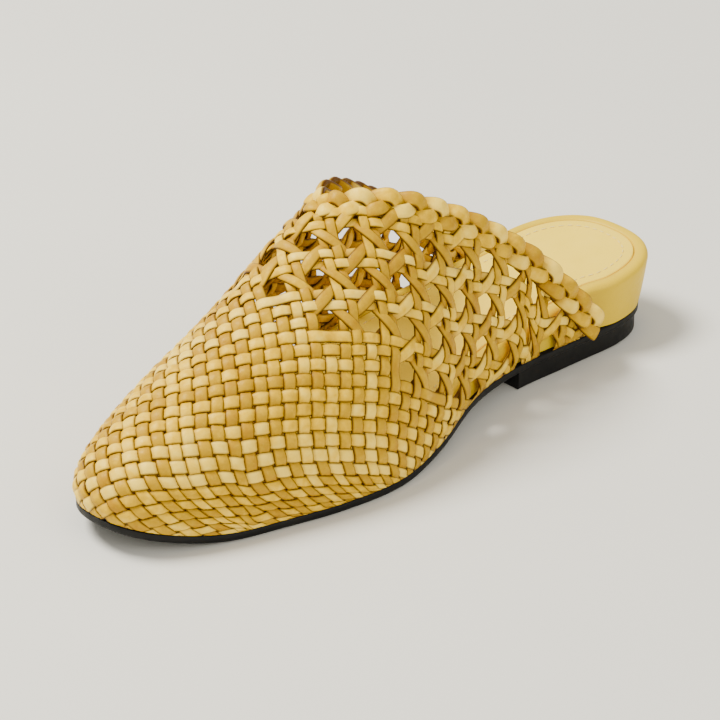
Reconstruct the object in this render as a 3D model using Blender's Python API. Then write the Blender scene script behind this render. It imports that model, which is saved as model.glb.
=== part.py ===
"""A right babouche slipper in woven leather.

It is a backless mule: a woven upper with open cane weave over the instep, a plaited collar, a leather-covered
wedge with a sock let into it, and a thin rubber sole with a low heel lift.

The toe points to -Y, the heel to +Y, the medial side is +X and the ground is z = 0. The origin lies on the
ground under the middle of the whole shoe. Lengths are in metres. A place along the shoe is a share t of the
length, 0 at the tip of the toe and 1 at the back of the heel.
"""

import math

import bpy
import numpy as np
from mathutils import Vector
from mathutils.geometry import delaunay_2d_cdt

for thing in list(bpy.data.objects):
    bpy.data.objects.remove(thing, do_unlink=True)

MM = 0.001

# The last: length, and half widths from its centre line to the feather edge, where upper meets sole
LENGTH = 252 * MM
BALL_MEDIAL = 44 * MM
BALL_LATERAL = 41 * MM
WAIST_MEDIAL = 24.5 * MM
WAIST_LATERAL = 36.5 * MM
SEAT_MEDIAL = 27 * MM
SEAT_LATERAL = 30 * MM
TOE_REACH = 60 * MM
TOE_SQUARENESS = 2.2
SEAT_REACH = 33 * MM
SEAT_SQUARENESS = 2.3
SPRING_CURVE = 1.8
RISE_CURVE = 1.15

# Heights above the ground
SOLE_THICKNESS = 3 * MM
TOE_SPRING = 9 * MM
HEEL_LIFT = 7.5 * MM
FOREPART_THICKNESS = 4 * MM
SEAT_HEIGHT = 31.5 * MM
CROWN_HEIGHT = 46 * MM
INSTEP_HEIGHT = 88 * MM

# Places along the length
CROWN_AT = 0.17
THROAT_AT = 0.42
COLLAR_END_AT = 0.835
TREAD_FROM = 0.17
TREAD_TO = 0.40
SHANK_END = 0.64
BREAST_AT = 0.71
COLLAR_SWEEP_MEDIAL = 1.1
COLLAR_SWEEP_LATERAL = 1.5
THROAT_ROUNDING = 0.25

# The upper's wall and the weave in it
WALL = 1.8 * MM
RELIEF = 0.9 * MM
FIT = 0.3 * MM
WEDGE_ROOM = 0.5 * MM
PITCH = 15.1 * MM
STRIPS = 3
HOLE_SHARE = 0.245
PAIR_SHARE = 0.255
LEAF_FAR = 0.219
LEAF_NEAR = 0.064
LATTICE_ALONG = 2.5 * MM
LATTICE_ACROSS = -6.2 * MM
HOLE_MARGIN = 1.4 * MM
EDGE_MARGIN = 1.2 * MM
INNER_MARGIN = 2.2 * MM
ROOF_INSET = 0.14
RIDGE_SHIFT = 8 * MM
WEAVE_REACH = 20
WEAVE_LEVELS = 13

# The plaited collar
BRAID_HALF_WIDTH = 5.4 * MM
BRAID_HALF_THICKNESS = 4.2 * MM
PLAIT_PITCH = 11 * MM
PLAIT_DEPTH = 0.9 * MM
PLAIT_SLANT = 1.6
BRAID_SHIFT = 16 * MM
BRAID_END_ROOM = 4 * MM
BRAID_SIDES = 7

# The wedge, its rim and the sock let into its top
RIM_RADIUS = 2.5 * MM
SOCK_INSET = 5.0 * MM
SOCK_THICKNESS = 1.5 * MM
HEEL_FLARE = 3.5 * MM
WEDGE_DRAFT = 0.7 * MM
SOLE_INSET = 0.4 * MM
SOLE_BEVEL = 0.6 * MM
LIFT_INSET = 1.2 * MM
COVER_PAST = 4 * MM
COVER_FADE = 12.5 * MM

# Station, medial half width, lateral half width
OUTLINE = (
    (0.06, 0.70 * BALL_MEDIAL, 0.78 * BALL_LATERAL),
    (0.12, 0.74 * BALL_MEDIAL, 0.84 * BALL_LATERAL),
    (0.20, 0.81 * BALL_MEDIAL, 0.92 * BALL_LATERAL),
    (0.30, 0.95 * BALL_MEDIAL, 0.98 * BALL_LATERAL),
    (0.39, 1.00 * BALL_MEDIAL, 1.00 * BALL_LATERAL),
    (0.50, 0.88 * BALL_MEDIAL, 0.985 * BALL_LATERAL),
    (0.60, 1.20 * WAIST_MEDIAL, 1.06 * WAIST_LATERAL),
    (0.70, 1.00 * WAIST_MEDIAL, 1.00 * WAIST_LATERAL),
    (0.80, 0.915 * SEAT_MEDIAL, 1.13 * SEAT_LATERAL),
    (0.90, 0.95 * SEAT_MEDIAL, 1.05 * SEAT_LATERAL),
    (1.00, 1.04 * SEAT_MEDIAL, 0.963 * SEAT_LATERAL),
)

# Station, height of the last's ridge, how flat the section's top is, how far its wall stands straight
RIDGE = (
    (0.17, 1.00 * CROWN_HEIGHT, 0.60, 0.52),
    (0.30, 0.71 * INSTEP_HEIGHT, 0.52, 0.50),
    (0.40, 0.90 * INSTEP_HEIGHT, 0.42, 0.48),
    (0.50, 1.07 * INSTEP_HEIGHT, 0.36, 0.48),
    (0.62, 1.20 * INSTEP_HEIGHT, 0.35, 0.48),
    (0.80, 1.45 * INSTEP_HEIGHT, 0.35, 0.48),
    (1.00, 1.60 * INSTEP_HEIGHT, 0.35, 0.48),
)

# Where the open cane weave starts: how far behind the crown, and how much further for each step to the side
OPEN_BACK = 32 * MM
OPEN_SLANT = 0.68

# How finely curves are followed
RAY_STEPS = 28
CHART_STEP = 6.5 * MM
SLOPE_STEP = 0.004
SNAP = 0.25 * MM
SOLE_STATIONS = 36
LIFT_STATIONS = 18
WEDGE_STATIONS = 30
COLLAR_SAMPLES = 90
SPINE_SAMPLES = 300
TOE_SAMPLES = 400


def smooth(rows, column, t):
    """A curve through a table's values, with each slope taken from the rows on both sides."""
    x = np.array([row[0] for row in rows])
    y = np.array([row[column] for row in rows])
    slope = np.gradient(y, x)
    t = np.clip(t, x[0], x[-1])
    i = np.clip(np.searchsorted(x, t) - 1, 0, len(x) - 2)
    h = x[i + 1] - x[i]
    s = (t - x[i]) / h
    start = y[i] * (1 + 2 * s) * (1 - s) ** 2 + h * slope[i] * s * (1 - s) ** 2
    end = y[i + 1] * s * s * (3 - 2 * s) - h * slope[i + 1] * s * s * (1 - s)
    return start + end


def ease(x):
    x = np.clip(x, 0, 1)
    return x * x * (3 - 2 * x)


def rounding(distance, reach, squareness):
    """The share of full width at this distance from the end of a rounded outline."""
    short = np.clip(1 - distance / reach, 0, 1)
    return (1 - short**squareness) ** (1 / squareness)


def along(t):
    return (t - 0.5) * LENGTH


def half_width(t, side):
    width = smooth(OUTLINE, 1 if side > 0 else 2, t)
    toe = rounding(t * LENGTH, TOE_REACH, TOE_SQUARENESS)
    seat = rounding((1 - t) * LENGTH, SEAT_REACH, SEAT_SQUARENESS)
    return width * toe * seat


def sole_bottom(t):
    spring = TOE_SPRING * np.clip(1 - t / TREAD_FROM, 0, 1) ** SPRING_CURVE
    return spring + HEEL_LIFT * ease((t - TREAD_TO) / (SHANK_END - TREAD_TO))


def sole_top(t):
    return sole_bottom(t) + SOLE_THICKNESS


def wedge_top(t):
    """The footbed's rim: level with the sole under the forepart, then a steady climb to the seat."""
    rise = SEAT_HEIGHT - HEEL_LIFT - SOLE_THICKNESS - FOREPART_THICKNESS
    climb = np.clip((t - TREAD_TO) / (1 - TREAD_TO), 0, 1) ** RISE_CURVE
    return sole_top(t) + FOREPART_THICKNESS + rise * climb


def station_of(y):
    return np.clip(y / LENGTH + 0.5, 0, 1)


# The outer skin: rays that run down from the spine, or from the crown over the toe, to the feather edge
def bezier(p0, p1, p2, p3, u):
    u = u[..., None]
    return p0 * (1 - u) ** 3 + 3 * p1 * u * (1 - u) ** 2 + 3 * p2 * u * u * (1 - u) + p3 * u**3


def points(x, y, z):
    x, y, z = np.broadcast_arrays(x, y, z)
    return np.stack([x, y, z], -1).astype(float)


def toe_station(turn, side):
    """The outline's station that a ray meets, turned this far from the toe's middle round to the side."""
    t = CROWN_AT * np.linspace(0, 1, TOE_SAMPLES) ** 2
    angle = np.arctan2(half_width(t, side), along(CROWN_AT) - along(t))
    return np.interp(turn, angle, t)


def spine_x(t):
    """The last's ridge swings to the lateral side between the crown and the throat."""
    return -RIDGE_SHIFT * ease((t - CROWN_AT) / (THROAT_AT - CROWN_AT))


def ray(t, turn, side):
    """Control points of a ray from the spine at t. A turn of 90 degrees runs across, less runs forward."""
    end = np.where(turn < math.pi / 2 - 1e-9, toe_station(turn, side), t)
    ridge = smooth(RIDGE, 1, t)
    flat = smooth(RIDGE, 2, t)
    straight = smooth(RIDGE, 3, t)
    slope = (smooth(RIDGE, 1, t + SLOPE_STEP) - smooth(RIDGE, 1, t)) / (SLOPE_STEP * LENGTH)
    x0 = spine_x(t)
    x3 = side * half_width(end, side)
    y0 = along(t)
    y3 = along(end)
    z3 = sole_top(end) + FIT
    p0 = points(x0, y0, ridge)
    p1 = points(x0 + flat * (x3 - x0), y0 + flat * (y3 - y0), ridge + slope * flat * (y3 - y0))
    p2 = points(x3, y3, z3 + straight * (ridge - z3))
    p3 = points(x3, y3, z3)
    return p0[:, None], p1[:, None], p2[:, None], p3[:, None]


def ray_lengths(t, turn, side):
    """Shares u along each ray, and the arc length from the spine to each of them."""
    u = np.linspace(0, 1, RAY_STEPS)
    path = bezier(*ray(t, turn, side), np.broadcast_to(u, (len(t), RAY_STEPS)))
    steps = np.linalg.norm(np.diff(path, axis=1), axis=2)
    return u, np.concatenate([np.zeros((len(t), 1)), np.cumsum(steps, axis=1)], axis=1)


SPINE_T = np.linspace(CROWN_AT, 1, SPINE_SAMPLES)
SPINE_PATH = points(spine_x(SPINE_T), along(SPINE_T), smooth(RIDGE, 1, SPINE_T))
SPINE_LENGTH = np.concatenate([[0], np.cumsum(np.linalg.norm(np.diff(SPINE_PATH, axis=0), axis=1))])


def chart_rays(a, b):
    """Station, turn, side and distance of chart places: a across from the spine, b back from the crown."""
    side = np.where(a >= 0, 1, -1)
    turn = np.where(b >= 0, math.pi / 2, np.arctan2(np.abs(a), -b))
    distance = np.where(b >= 0, np.abs(a), np.hypot(a, b))
    return np.interp(b, SPINE_LENGTH, SPINE_T), turn, side, distance


def chart_points(a, b):
    """The outer skin's points at chart places. Past the feather edge it goes straight on down."""
    a, b = np.asarray(a, float), np.asarray(b, float)
    t, turn, side, distance = chart_rays(a, b)
    out = np.zeros((len(a), 3))
    for which in (1, -1):
        pick = side == which
        if not pick.any():
            continue
        u, lengths = ray_lengths(t[pick], turn[pick], which)
        reach = lengths[:, -1]
        share = np.array([np.interp(d, row, u) for d, row in zip(distance[pick], lengths)])
        place = bezier(*ray(t[pick], turn[pick], which), share[:, None])[:, 0]
        place[:, 2] -= np.maximum(distance[pick] - reach, 0)
        out[pick] = place
    return out


def chart_normals(a, b):
    step = 0.4 * MM
    across = chart_points(a + step, b) - chart_points(a - step, b)
    back = chart_points(a, b + step) - chart_points(a, b - step)
    normal = np.cross(across, back)
    return normal / np.linalg.norm(normal, axis=1)[:, None]


def reach_at(t, turn, side):
    return ray_lengths(np.atleast_1d(t), np.atleast_1d(turn), side)[1][:, -1]


# The edge of the upper in the chart: the feather line round the toe, then the collar over the instep
def collar_chart(share, side):
    """Chart places of the collar, from the throat at share 0 of the rays to the feather edge at share 1."""
    sweep = COLLAR_SWEEP_MEDIAL if side > 0 else COLLAR_SWEEP_LATERAL
    back = share**sweep * share * (1 + THROAT_ROUNDING) / (share + THROAT_ROUNDING)
    t = THROAT_AT + (COLLAR_END_AT - THROAT_AT) * back
    u, lengths = ray_lengths(t, np.full(len(t), math.pi / 2), side)
    distance = np.array([np.interp(s, u, row) for s, row in zip(share, lengths)])
    return np.stack([side * distance, np.interp(t, SPINE_T, SPINE_LENGTH)], -1)


def feather_chart(side):
    """Chart places of the feather edge, from the middle of the toe to the collar's end."""
    turn = np.linspace(0, math.pi / 2, round(math.pi / 2 * BALL_MEDIAL / CHART_STEP))
    reach = reach_at(np.full(len(turn), CROWN_AT), turn, side)
    toe = np.stack([side * reach * np.sin(turn), -reach * np.cos(turn)], -1)
    count = round((COLLAR_END_AT - CROWN_AT) * LENGTH / CHART_STEP)
    t = np.linspace(CROWN_AT, COLLAR_END_AT, count)[1:]
    reach = reach_at(t, np.full(len(t), math.pi / 2), side)
    return np.concatenate([toe, np.stack([side * reach, np.interp(t, SPINE_T, SPINE_LENGTH)], -1)])


def upper_edge():
    length = math.hypot((COLLAR_END_AT - THROAT_AT) * LENGTH, INSTEP_HEIGHT)
    g = np.linspace(0, 1, round(length / CHART_STEP))
    medial = feather_chart(1)
    lateral = feather_chart(-1)
    return np.concatenate(
        [medial, collar_chart(g, 1)[::-1][1:], collar_chart(g, -1)[1:-1], lateral[::-1][:-1]]
    )


def inside(loop, places):
    """Whether each place lies inside a closed loop of chart places."""
    x, y = places[:, 0][:, None], places[:, 1][:, None]
    x0, y0 = loop[:, 0], loop[:, 1]
    x1, y1 = np.roll(x0, -1), np.roll(y0, -1)
    crosses = (y0 > y) != (y1 > y)
    height = np.where(y1 == y0, 1, y1 - y0)
    return (crosses & (x < x0 + (y - y0) / height * (x1 - x0))).sum(axis=1) % 2 == 1


def clearance(loop, places):
    """Distance from each place to the nearest side of a loop."""
    p = places[:, None]
    start, end = loop[None], np.roll(loop, -1, axis=0)[None]
    side = end - start
    share = np.clip(((p - start) * side).sum(2) / np.maximum((side**2).sum(2), 1e-16), 0, 1)
    return np.linalg.norm(p - start - share[..., None] * side, axis=2).min(axis=1)


# The weave: warps and wefts cross the spine at 45 degrees, and h and v count crossings along them
def crossings():
    """Chart places of the crossings. Those on the spine are given, each other is a pitch from two others."""
    nodes = np.full((2 * WEAVE_REACH + 1, 2 * WEAVE_REACH + 1, 2), np.nan)
    m = np.arange(-WEAVE_REACH, WEAVE_REACH + 1)
    start = np.stack([np.full(len(m), LATTICE_ACROSS), LATTICE_ALONG + m * math.sqrt(2) * PITCH], -1)
    nodes[m + WEAVE_REACH, WEAVE_REACH - m] = start
    for side in (1, -1):
        for level in range(1, WEAVE_LEVELS + 1):
            h = np.arange(-WEAVE_REACH + level, WEAVE_REACH + 1) - (0 if side > 0 else level)
            v = side * level - h
            near = nodes[h - side + WEAVE_REACH, v + WEAVE_REACH]
            far = nodes[h + WEAVE_REACH, v - side + WEAVE_REACH]
            if level == 1:
                place = (near + far) / 2 + np.array([side * PITCH / math.sqrt(2), 0])
            else:
                place = near + far - nodes[h - side + WEAVE_REACH, v - side + WEAVE_REACH]
            nodes[h + WEAVE_REACH, v + WEAVE_REACH] = pitch_away(place, near, far)
    return nodes


def pitch_away(place, near, far):
    """Moves chart places until each is a pitch from both of its neighbours, by damped Newton steps."""
    step, damping = 0.2 * MM, 0.02
    ends = [chart_points(*near.T), chart_points(*far.T)]

    def misfit(at):
        here = chart_points(*at.T)
        return np.stack([np.linalg.norm(here - end, axis=1) - PITCH for end in ends], -1)

    for _ in range(6):
        wrong = misfit(place)
        slope = np.stack([(misfit(place + np.array(d)) - wrong) / step for d in ((step, 0), (0, step))], -1)
        turned = np.swapaxes(slope, 1, 2)
        square = turned @ slope + damping * np.eye(2)
        move = np.linalg.solve(square, turned @ wrong[..., None])[..., 0]
        place = place - np.clip(move, -PITCH / 3, PITCH / 3)
    return place


CROSSINGS = crossings()
CELLS = [(i, j) for i in range(-WEAVE_REACH, WEAVE_REACH) for j in range(-WEAVE_REACH, WEAVE_REACH)]


def lattice_to_chart(h, v):
    """Chart places of lattice places, between the four crossings around each."""
    h, v = np.asarray(h, float) + WEAVE_REACH, np.asarray(v, float) + WEAVE_REACH
    i = np.clip(np.floor(h).astype(int), 0, 2 * WEAVE_REACH - 1)
    j = np.clip(np.floor(v).astype(int), 0, 2 * WEAVE_REACH - 1)
    p, q = (h - i)[..., None], (v - j)[..., None]
    start = CROSSINGS[i, j] * (1 - p) + CROSSINGS[i + 1, j] * p
    end = CROSSINGS[i, j + 1] * (1 - p) + CROSSINGS[i + 1, j + 1] * p
    return start * (1 - q) + end * q


def is_open_place(a, b):
    """Whether the weave is open cane here rather than plain weave."""
    return b > OPEN_BACK + OPEN_SLANT * np.abs(a)


def open_cells(edge):
    """Lattice cells with a hole in their middle, clear of the upper's edge."""
    middles = lattice_to_chart([i + 0.5 for i, _ in CELLS], [j + 0.5 for _, j in CELLS])
    middles = np.nan_to_num(middles, nan=LENGTH)
    room = HOLE_SHARE * PITCH / math.cos(math.pi / 8) + HOLE_MARGIN
    fits = inside(edge, middles) & (clearance(edge, middles) > room)
    wanted = is_open_place(middles[:, 0], middles[:, 1])
    return {cell for cell, keep in zip(CELLS, fits & wanted) if keep}


class Net:
    """Chart places, joined by edges, with a height above the skin at each."""

    def __init__(self):
        self.places, self.heights, self.edges, self.index = [], [], [], {}

    def add(self, h, v, height=0.0):
        key = (round(h, 5), round(v, 5))
        if key not in self.index:
            self.index[key] = len(self.places)
            self.places.append(key)
            self.heights.append(height)
        return self.index[key]

    def join(self, *corners):
        for start, end in zip(corners, corners[1:]):
            if start != end:
                self.edges.append((start, end))


def hip_roof(net, corners, along_h):
    """A crossing: four low corners in order, and a ridge across the strip that lies on top."""
    (h0, v0), (h1, v1) = corners[0], corners[2]
    low = [net.add(*corner) for corner in corners]
    net.join(*low, low[0])
    mid_h, mid_v = (h0 + h1) / 2, (v0 + v1) / 2
    if along_h:
        step = ROOF_INSET * (v1 - v0)
        ends = [net.add(mid_h, v0 + step, RELIEF), net.add(mid_h, v1 - step, RELIEF)]
        near = ((low[0], low[1]), (low[3], low[2]))
    else:
        step = ROOF_INSET * (h1 - h0)
        ends = [net.add(h0 + step, mid_v, RELIEF), net.add(h1 - step, mid_v, RELIEF)]
        near = ((low[0], low[3]), (low[1], low[2]))
    net.join(*ends)
    for end, pair in zip(ends, near):
        net.join(pair[0], end, pair[1])


def plain_cell(net, i, j):
    """The crossings of a plain weave, with an equal count of strips each way."""
    step = 1 / STRIPS
    for m in range(STRIPS):
        for n in range(STRIPS):
            h0, v0 = i + m * step, j + n * step
            corners = [(h0, v0), (h0 + step, v0), (h0 + step, v0 + step), (h0, v0 + step)]
            hip_roof(net, corners, (STRIPS * (i + j) + m + n) % 2 == 0)


def cane_cell(net, i, j, beside):
    """A hole with its eight sides, the quarter blocks at its corners and the halves of its four diagonals."""
    centre_h, centre_v, s, hole = i + 0.5, j + 0.5, PAIR_SHARE, HOLE_SHARE
    short = hole * math.tan(math.pi / 8)

    def place(p, q):
        """From cell axes p, q, centred on the hole, to lattice h, v."""
        return centre_h + p, centre_v + q

    rim = []
    for quarter in range(4):
        c, d = round(math.cos(quarter * math.pi / 2)), round(math.sin(quarter * math.pi / 2))

        def turned(p, q, c=c, d=d):
            return place(p * c - q * d, p * d + q * c)

        rim += [net.add(*turned(hole, -short)), net.add(*turned(hole, short))]
        # The quarter block in this corner, with its knee at the corner of the crossing pairs
        open_side = beside[quarter]
        open_next = beside[(quarter + 1) % 4]
        knee = (0.5 - s, 0.5 - s)
        on_side = (0.5, 0.5 - (s if open_side else 1 / STRIPS))
        on_next = (0.5 - (s if open_next else 1 / STRIPS), 0.5)
        corners = [turned(0.5, 0.5), turned(*on_next), turned(*knee), turned(*on_side)]
        low = [net.add(*corner) for corner in corners]
        net.join(*low, low[0])
        peak = np.mean(corners, axis=0)
        top = net.add(float(peak[0]), float(peak[1]), RELIEF)
        for corner in low:
            net.join(top, corner)
        # Half of the diagonal that crosses this side, from its middle to a knee
        if open_side:
            middle = net.add(*turned(0.5, 0), RELIEF)
            tip = net.add(*turned(0.5 - s, 0.5 - s))
            flank = net.add(*turned(0.5 - LEAF_FAR, LEAF_NEAR))
            shoulder = net.add(*turned(0.5 - LEAF_NEAR, LEAF_FAR))
            next_flank = net.add(*turned(0.5 + LEAF_FAR, -LEAF_NEAR))
            net.join(middle, flank, tip, shoulder, middle, tip)
            net.join(shoulder, next_flank)
    net.join(*rim, rim[0])
    return rim


def triangles(places, edges, walls, nearness):
    """Constrained Delaunay triangles of the piece that holds the crown, bounded by walls.

    Gives the places, the triangles and, for each place, the given places that it stands for.
    """
    found = delaunay_2d_cdt([Vector(p) for p in places / MM], walls + edges, [], 0, nearness / MM, True)
    flat, faces = np.array([tuple(p) for p in found[0]]) * MM, [tuple(face) for face in found[2]]
    in_wall = [any(g < len(walls) for g in given) for given in found[4]]
    blocked = {(min(pair), max(pair)) for pair, wall in zip(found[1], in_wall) if wall}
    beside = {}
    for number, face in enumerate(faces):
        for start, end in zip(face, face[1:] + face[:1]):
            beside.setdefault((min(start, end), max(start, end)), []).append(number)
    middles = np.array([flat[list(face)].mean(axis=0) for face in faces])
    waiting = [int(np.argmin(np.linalg.norm(middles, axis=1)))]
    reached = set(waiting)
    while waiting:
        face = faces[waiting.pop()]
        for start, end in zip(face, face[1:] + face[:1]):
            pair = (min(start, end), max(start, end))
            if pair not in blocked:
                fresh = [k for k in beside[pair] if k not in reached]
                reached.update(fresh)
                waiting += fresh
    return flat, [faces[k] for k in sorted(reached)], found[3]


def boundary_of(faces):
    """Directed edges that only one face uses."""
    used = {}
    for face in faces:
        for start, end in zip(face, face[1:] + face[:1]):
            used[(start, end)] = True
    return [(start, end) for start, end in used if (end, start) not in used]


def ring_lines(count, first=0):
    return [(first + k, first + (k + 1) % count) for k in range(count)]


def in_any_hole(places, holes):
    """Whether each place lies in one of the eight-sided holes."""
    hit = np.zeros(len(places), bool)
    for loop in holes:
        near = np.abs(places - loop.mean(axis=0)).max(axis=1) < PITCH
        if near.any():
            hit[near] |= inside(loop, places[near])
    return hit


def weave_net(edge):
    """The weave's net over the whole upper, and the rim of each hole as numbers of the net's places."""
    cells = open_cells(edge)
    net = Net()
    holes = []
    for i, j in CELLS:
        corners = lattice_to_chart([i, i + 1, i + 1, i, i + 0.5], [j, j, j + 1, j + 1, j + 0.5])
        if np.isnan(corners).any():
            continue
        if not (inside(edge, corners).any() or clearance(edge, corners).min() < PITCH):
            continue
        if (i, j) in cells:
            beside = [(i + 1, j) in cells, (i, j + 1) in cells, (i - 1, j) in cells, (i, j - 1) in cells]
            holes.append(cane_cell(net, i, j, beside))
        else:
            plain_cell(net, i, j)
    return net, holes


def outer_skin(edge):
    """Chart places, triangles, heights and holes of the upper's outer side, cut at its edge and holes."""
    net, holes = weave_net(edge)
    places = lattice_to_chart([p[0] for p in net.places], [p[1] for p in net.places])
    kept = np.flatnonzero(inside(edge, places) & (clearance(edge, places) > EDGE_MARGIN))
    number = {int(k): n for n, k in enumerate(kept)}
    places = places[kept]
    lines = [(number[s], number[e]) for s, e in net.edges if s in number and e in number]
    holes = [[number[k] for k in rim] for rim in holes]
    first = len(places)
    walls = ring_lines(len(edge), first) + [line for rim in holes for line in zip(rim, rim[1:] + rim[:1])]
    flat, faces, origins = triangles(np.concatenate([places, edge]), lines, walls, SNAP)
    roof = [net.heights[k] for k in kept]
    heights = np.zeros(len(flat))
    for k, given in enumerate(origins):
        if given and not any(g >= first for g in given):
            heights[k] = max(roof[g] for g in given)
    return flat, faces, heights, [places[rim] for rim in holes]


def inner_skin(edge, flat, rims, holes):
    """The upper's inner side: the same rims, with crossings between them.

    Gives its chart places, its triangles, and for each place on an outer rim its own place below.
    """
    on_rim = sorted({k for pair in rims for k in pair})
    rim_places = flat[on_rim]
    spots = lattice_to_chart([i for i, _ in CELLS], [j for _, j in CELLS])
    spots = spots[np.isfinite(spots).all(axis=1)]
    spots = spots[inside(edge, spots)]
    spots = spots[~in_any_hole(spots, holes)]
    gaps = np.array([np.linalg.norm(rim_places - spot, axis=1).min() for spot in spots])
    spots = spots[(gaps > INNER_MARGIN) & (clearance(edge, spots) > INNER_MARGIN)]
    number = {k: n for n, k in enumerate(on_rim)}
    walls = [(number[start], number[end]) for start, end in rims]
    inner, faces, origins = triangles(np.concatenate([rim_places, spots]), [], walls, 1e-6 * MM)
    below = {on_rim[g]: k for k, given in enumerate(origins) for g in given if g < len(on_rim)}
    return inner, faces, below


def upper_mesh():
    """The woven wall: outer and inner skins, joined round its edge and round every hole."""
    edge = upper_edge()
    flat, faces, heights, holes = outer_skin(edge)
    rims = boundary_of(faces)
    heights[sorted({k for pair in rims for k in pair})] = 0
    inner_flat, inner_faces, below = inner_skin(edge, flat, rims, holes)
    outer = chart_points(*flat.T) + chart_normals(*flat.T) * heights[:, None]
    inner = chart_points(*inner_flat.T) - chart_normals(*inner_flat.T) * WALL
    shift = len(outer)
    mesh_faces = [list(face) for face in faces]
    mesh_faces += [[k + shift for k in reversed(face)] for face in inner_faces]
    mesh_faces += [[end, start, below[start] + shift, below[end] + shift] for start, end in rims]
    return np.concatenate([outer, inner]), mesh_faces


# The plaited collar: a flattened tube along the upper's edge, with its plaits raised
def collar_line(side, share):
    chart = collar_chart(share, side)
    return chart_points(*chart.T), chart_normals(*chart.T)


def braid_line():
    """Distances along the braid, its centre line, and its directions along, off the edge and outwards."""
    g = np.linspace(0, 1, COLLAR_SAMPLES)
    medial, medial_normal = collar_line(1, g)
    lateral, lateral_normal = collar_line(-1, g)
    line = np.concatenate([lateral[::-1][:-1], medial])
    normal = np.concatenate([lateral_normal[::-1][:-1], medial_normal])
    length = np.concatenate([[0], np.cumsum(np.linalg.norm(np.diff(line, axis=0), axis=1))])
    even = np.linspace(0, length[-1], round(length[-1] / (PLAIT_PITCH / 3)))
    line = np.stack([np.interp(even, length, line[:, k]) for k in range(3)], -1)
    normal = np.stack([np.interp(even, length, normal[:, k]) for k in range(3)], -1)
    tangent = np.gradient(line, axis=0)
    tangent /= np.linalg.norm(tangent, axis=1)[:, None]
    away = np.cross(normal, tangent)
    away /= np.linalg.norm(away, axis=1)[:, None]
    normal = np.cross(tangent, away)
    # Beside the wedge the braid stands outside the wall, and above it the wall meets its middle
    free = ease((line[:, 2] - SEAT_HEIGHT) / BRAID_SHIFT)[:, None]
    proud = (1 - free) * (BRAID_HALF_THICKNESS - WALL) - free * WALL / 2
    reach = BRAID_HALF_WIDTH * np.sqrt(1 - (np.maximum(proud, 0) / BRAID_HALF_THICKNESS) ** 2)
    centre = line + away * (reach + FIT) + normal * proud
    tangent = np.gradient(centre, axis=0)
    tangent /= np.linalg.norm(tangent, axis=1)[:, None]
    return even, centre, tangent, away, normal


def braid_mesh():
    even, centre, tangent, away, normal = braid_line()
    floor = sole_top(COLLAR_END_AT) + FIT
    high = centre[:, 2] > floor + BRAID_END_ROOM
    first, last = np.flatnonzero(high)[[0, -1]]
    rings = []
    angle = np.arange(BRAID_SIDES) * 2 * math.pi / BRAID_SIDES
    for k in range(first, last + 1):
        lean = np.cos(angle) * BRAID_HALF_WIDTH
        wave = np.abs(np.sin(math.pi * (even[k] / PLAIT_PITCH + np.abs(lean) / (PLAIT_SLANT * PLAIT_PITCH))))
        swell = 1 - PLAIT_DEPTH / BRAID_HALF_THICKNESS * (1 - wave)
        ring = centre[k] + np.outer(lean * swell, away[k])
        ring += np.outer(np.sin(angle) * swell * BRAID_HALF_THICKNESS, normal[k])
        rings.append(ring)
    # Each end is cut level, just clear of the sole
    ends = []
    for at, ring in ((first, rings[0]), (last, rings[-1])):
        drop = (ring[:, 2] - floor) / tangent[at, 2]
        ends.append(ring - drop[:, None] * tangent[at])
    rings = [ends[0]] + rings + [ends[1]]
    return tube_mesh(rings)


def tube_mesh(rings):
    count = len(rings[0])
    faces = []
    for k in range(len(rings) - 1):
        for s in range(count):
            n = (s + 1) % count
            faces.append([k * count + s, k * count + n, (k + 1) * count + n, (k + 1) * count + s])
    last = (len(rings) - 1) * count
    faces.append(list(range(count))[::-1])
    faces.append([last + s for s in range(count)])
    return np.concatenate(rings), faces


# Flat layers: closed outlines stacked and joined, then closed by strips from side to side
def past_upper(t):
    """Distance behind the place where the upper stops wrapping the wedge."""
    return (t - COLLAR_END_AT) * LENGTH - COVER_PAST


def covered(t):
    """1 where the upper wraps the wedge, falling to 0 behind its ends."""
    return 1 - ease(past_upper(t) / COVER_FADE)


def outline_ring(t, inset, height):
    """A closed ring down the medial side, round the heel and up the lateral side. Inset and height take t."""
    both = []
    for side in (1, -1):
        both.append(np.stack([side * half_width(t, side), along(t)], -1))
    medial, lateral = both
    if t[0] == 0:
        lateral = lateral[1:]
    loop = np.concatenate([medial, lateral[::-1][1:]])
    shares = np.concatenate([t, t[::-1][1:] if t[0] > 0 else t[::-1][1:-1]])
    ahead = np.roll(loop, -1, axis=0) - loop
    behind = loop - np.roll(loop, 1, axis=0)
    if t[0] > 0:
        behind[0], ahead[-1] = ahead[0], behind[-1]
    ahead /= np.linalg.norm(ahead, axis=1)[:, None]
    behind /= np.linalg.norm(behind, axis=1)[:, None]
    tangent = ahead + behind
    tangent /= np.linalg.norm(tangent, axis=1)[:, None]
    inward = np.stack([-tangent[:, 1], tangent[:, 0]], -1)
    loop = loop + inward * inset(shares)[:, None]
    return np.column_stack([loop, height(station_of(loop[:, 1]))])


def stacked_mesh(rings, closed_toe):
    """Rings of equal count, bottom first, closed below and above by strips between the two sides."""
    count = len(rings[0])
    faces = []
    for k in range(len(rings) - 1):
        for s in range(count):
            n = (s + 1) % count
            faces.append([k * count + s, k * count + n, (k + 1) * count + n, (k + 1) * count + s])
    top = (len(rings) - 1) * count
    pairs = [(k, (count - k) % count if closed_toe else count - 1 - k) for k in range(count // 2 + 1)]
    for (a, b), (c, d) in zip(pairs, pairs[1:]):
        corners = []
        for corner in (a, c, d, b):
            if corner not in corners:
                corners.append(corner)
        if len(corners) > 2:
            faces.append(corners[::-1])
            faces.append([corner + top for corner in corners])
    return np.concatenate(rings), faces


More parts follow.
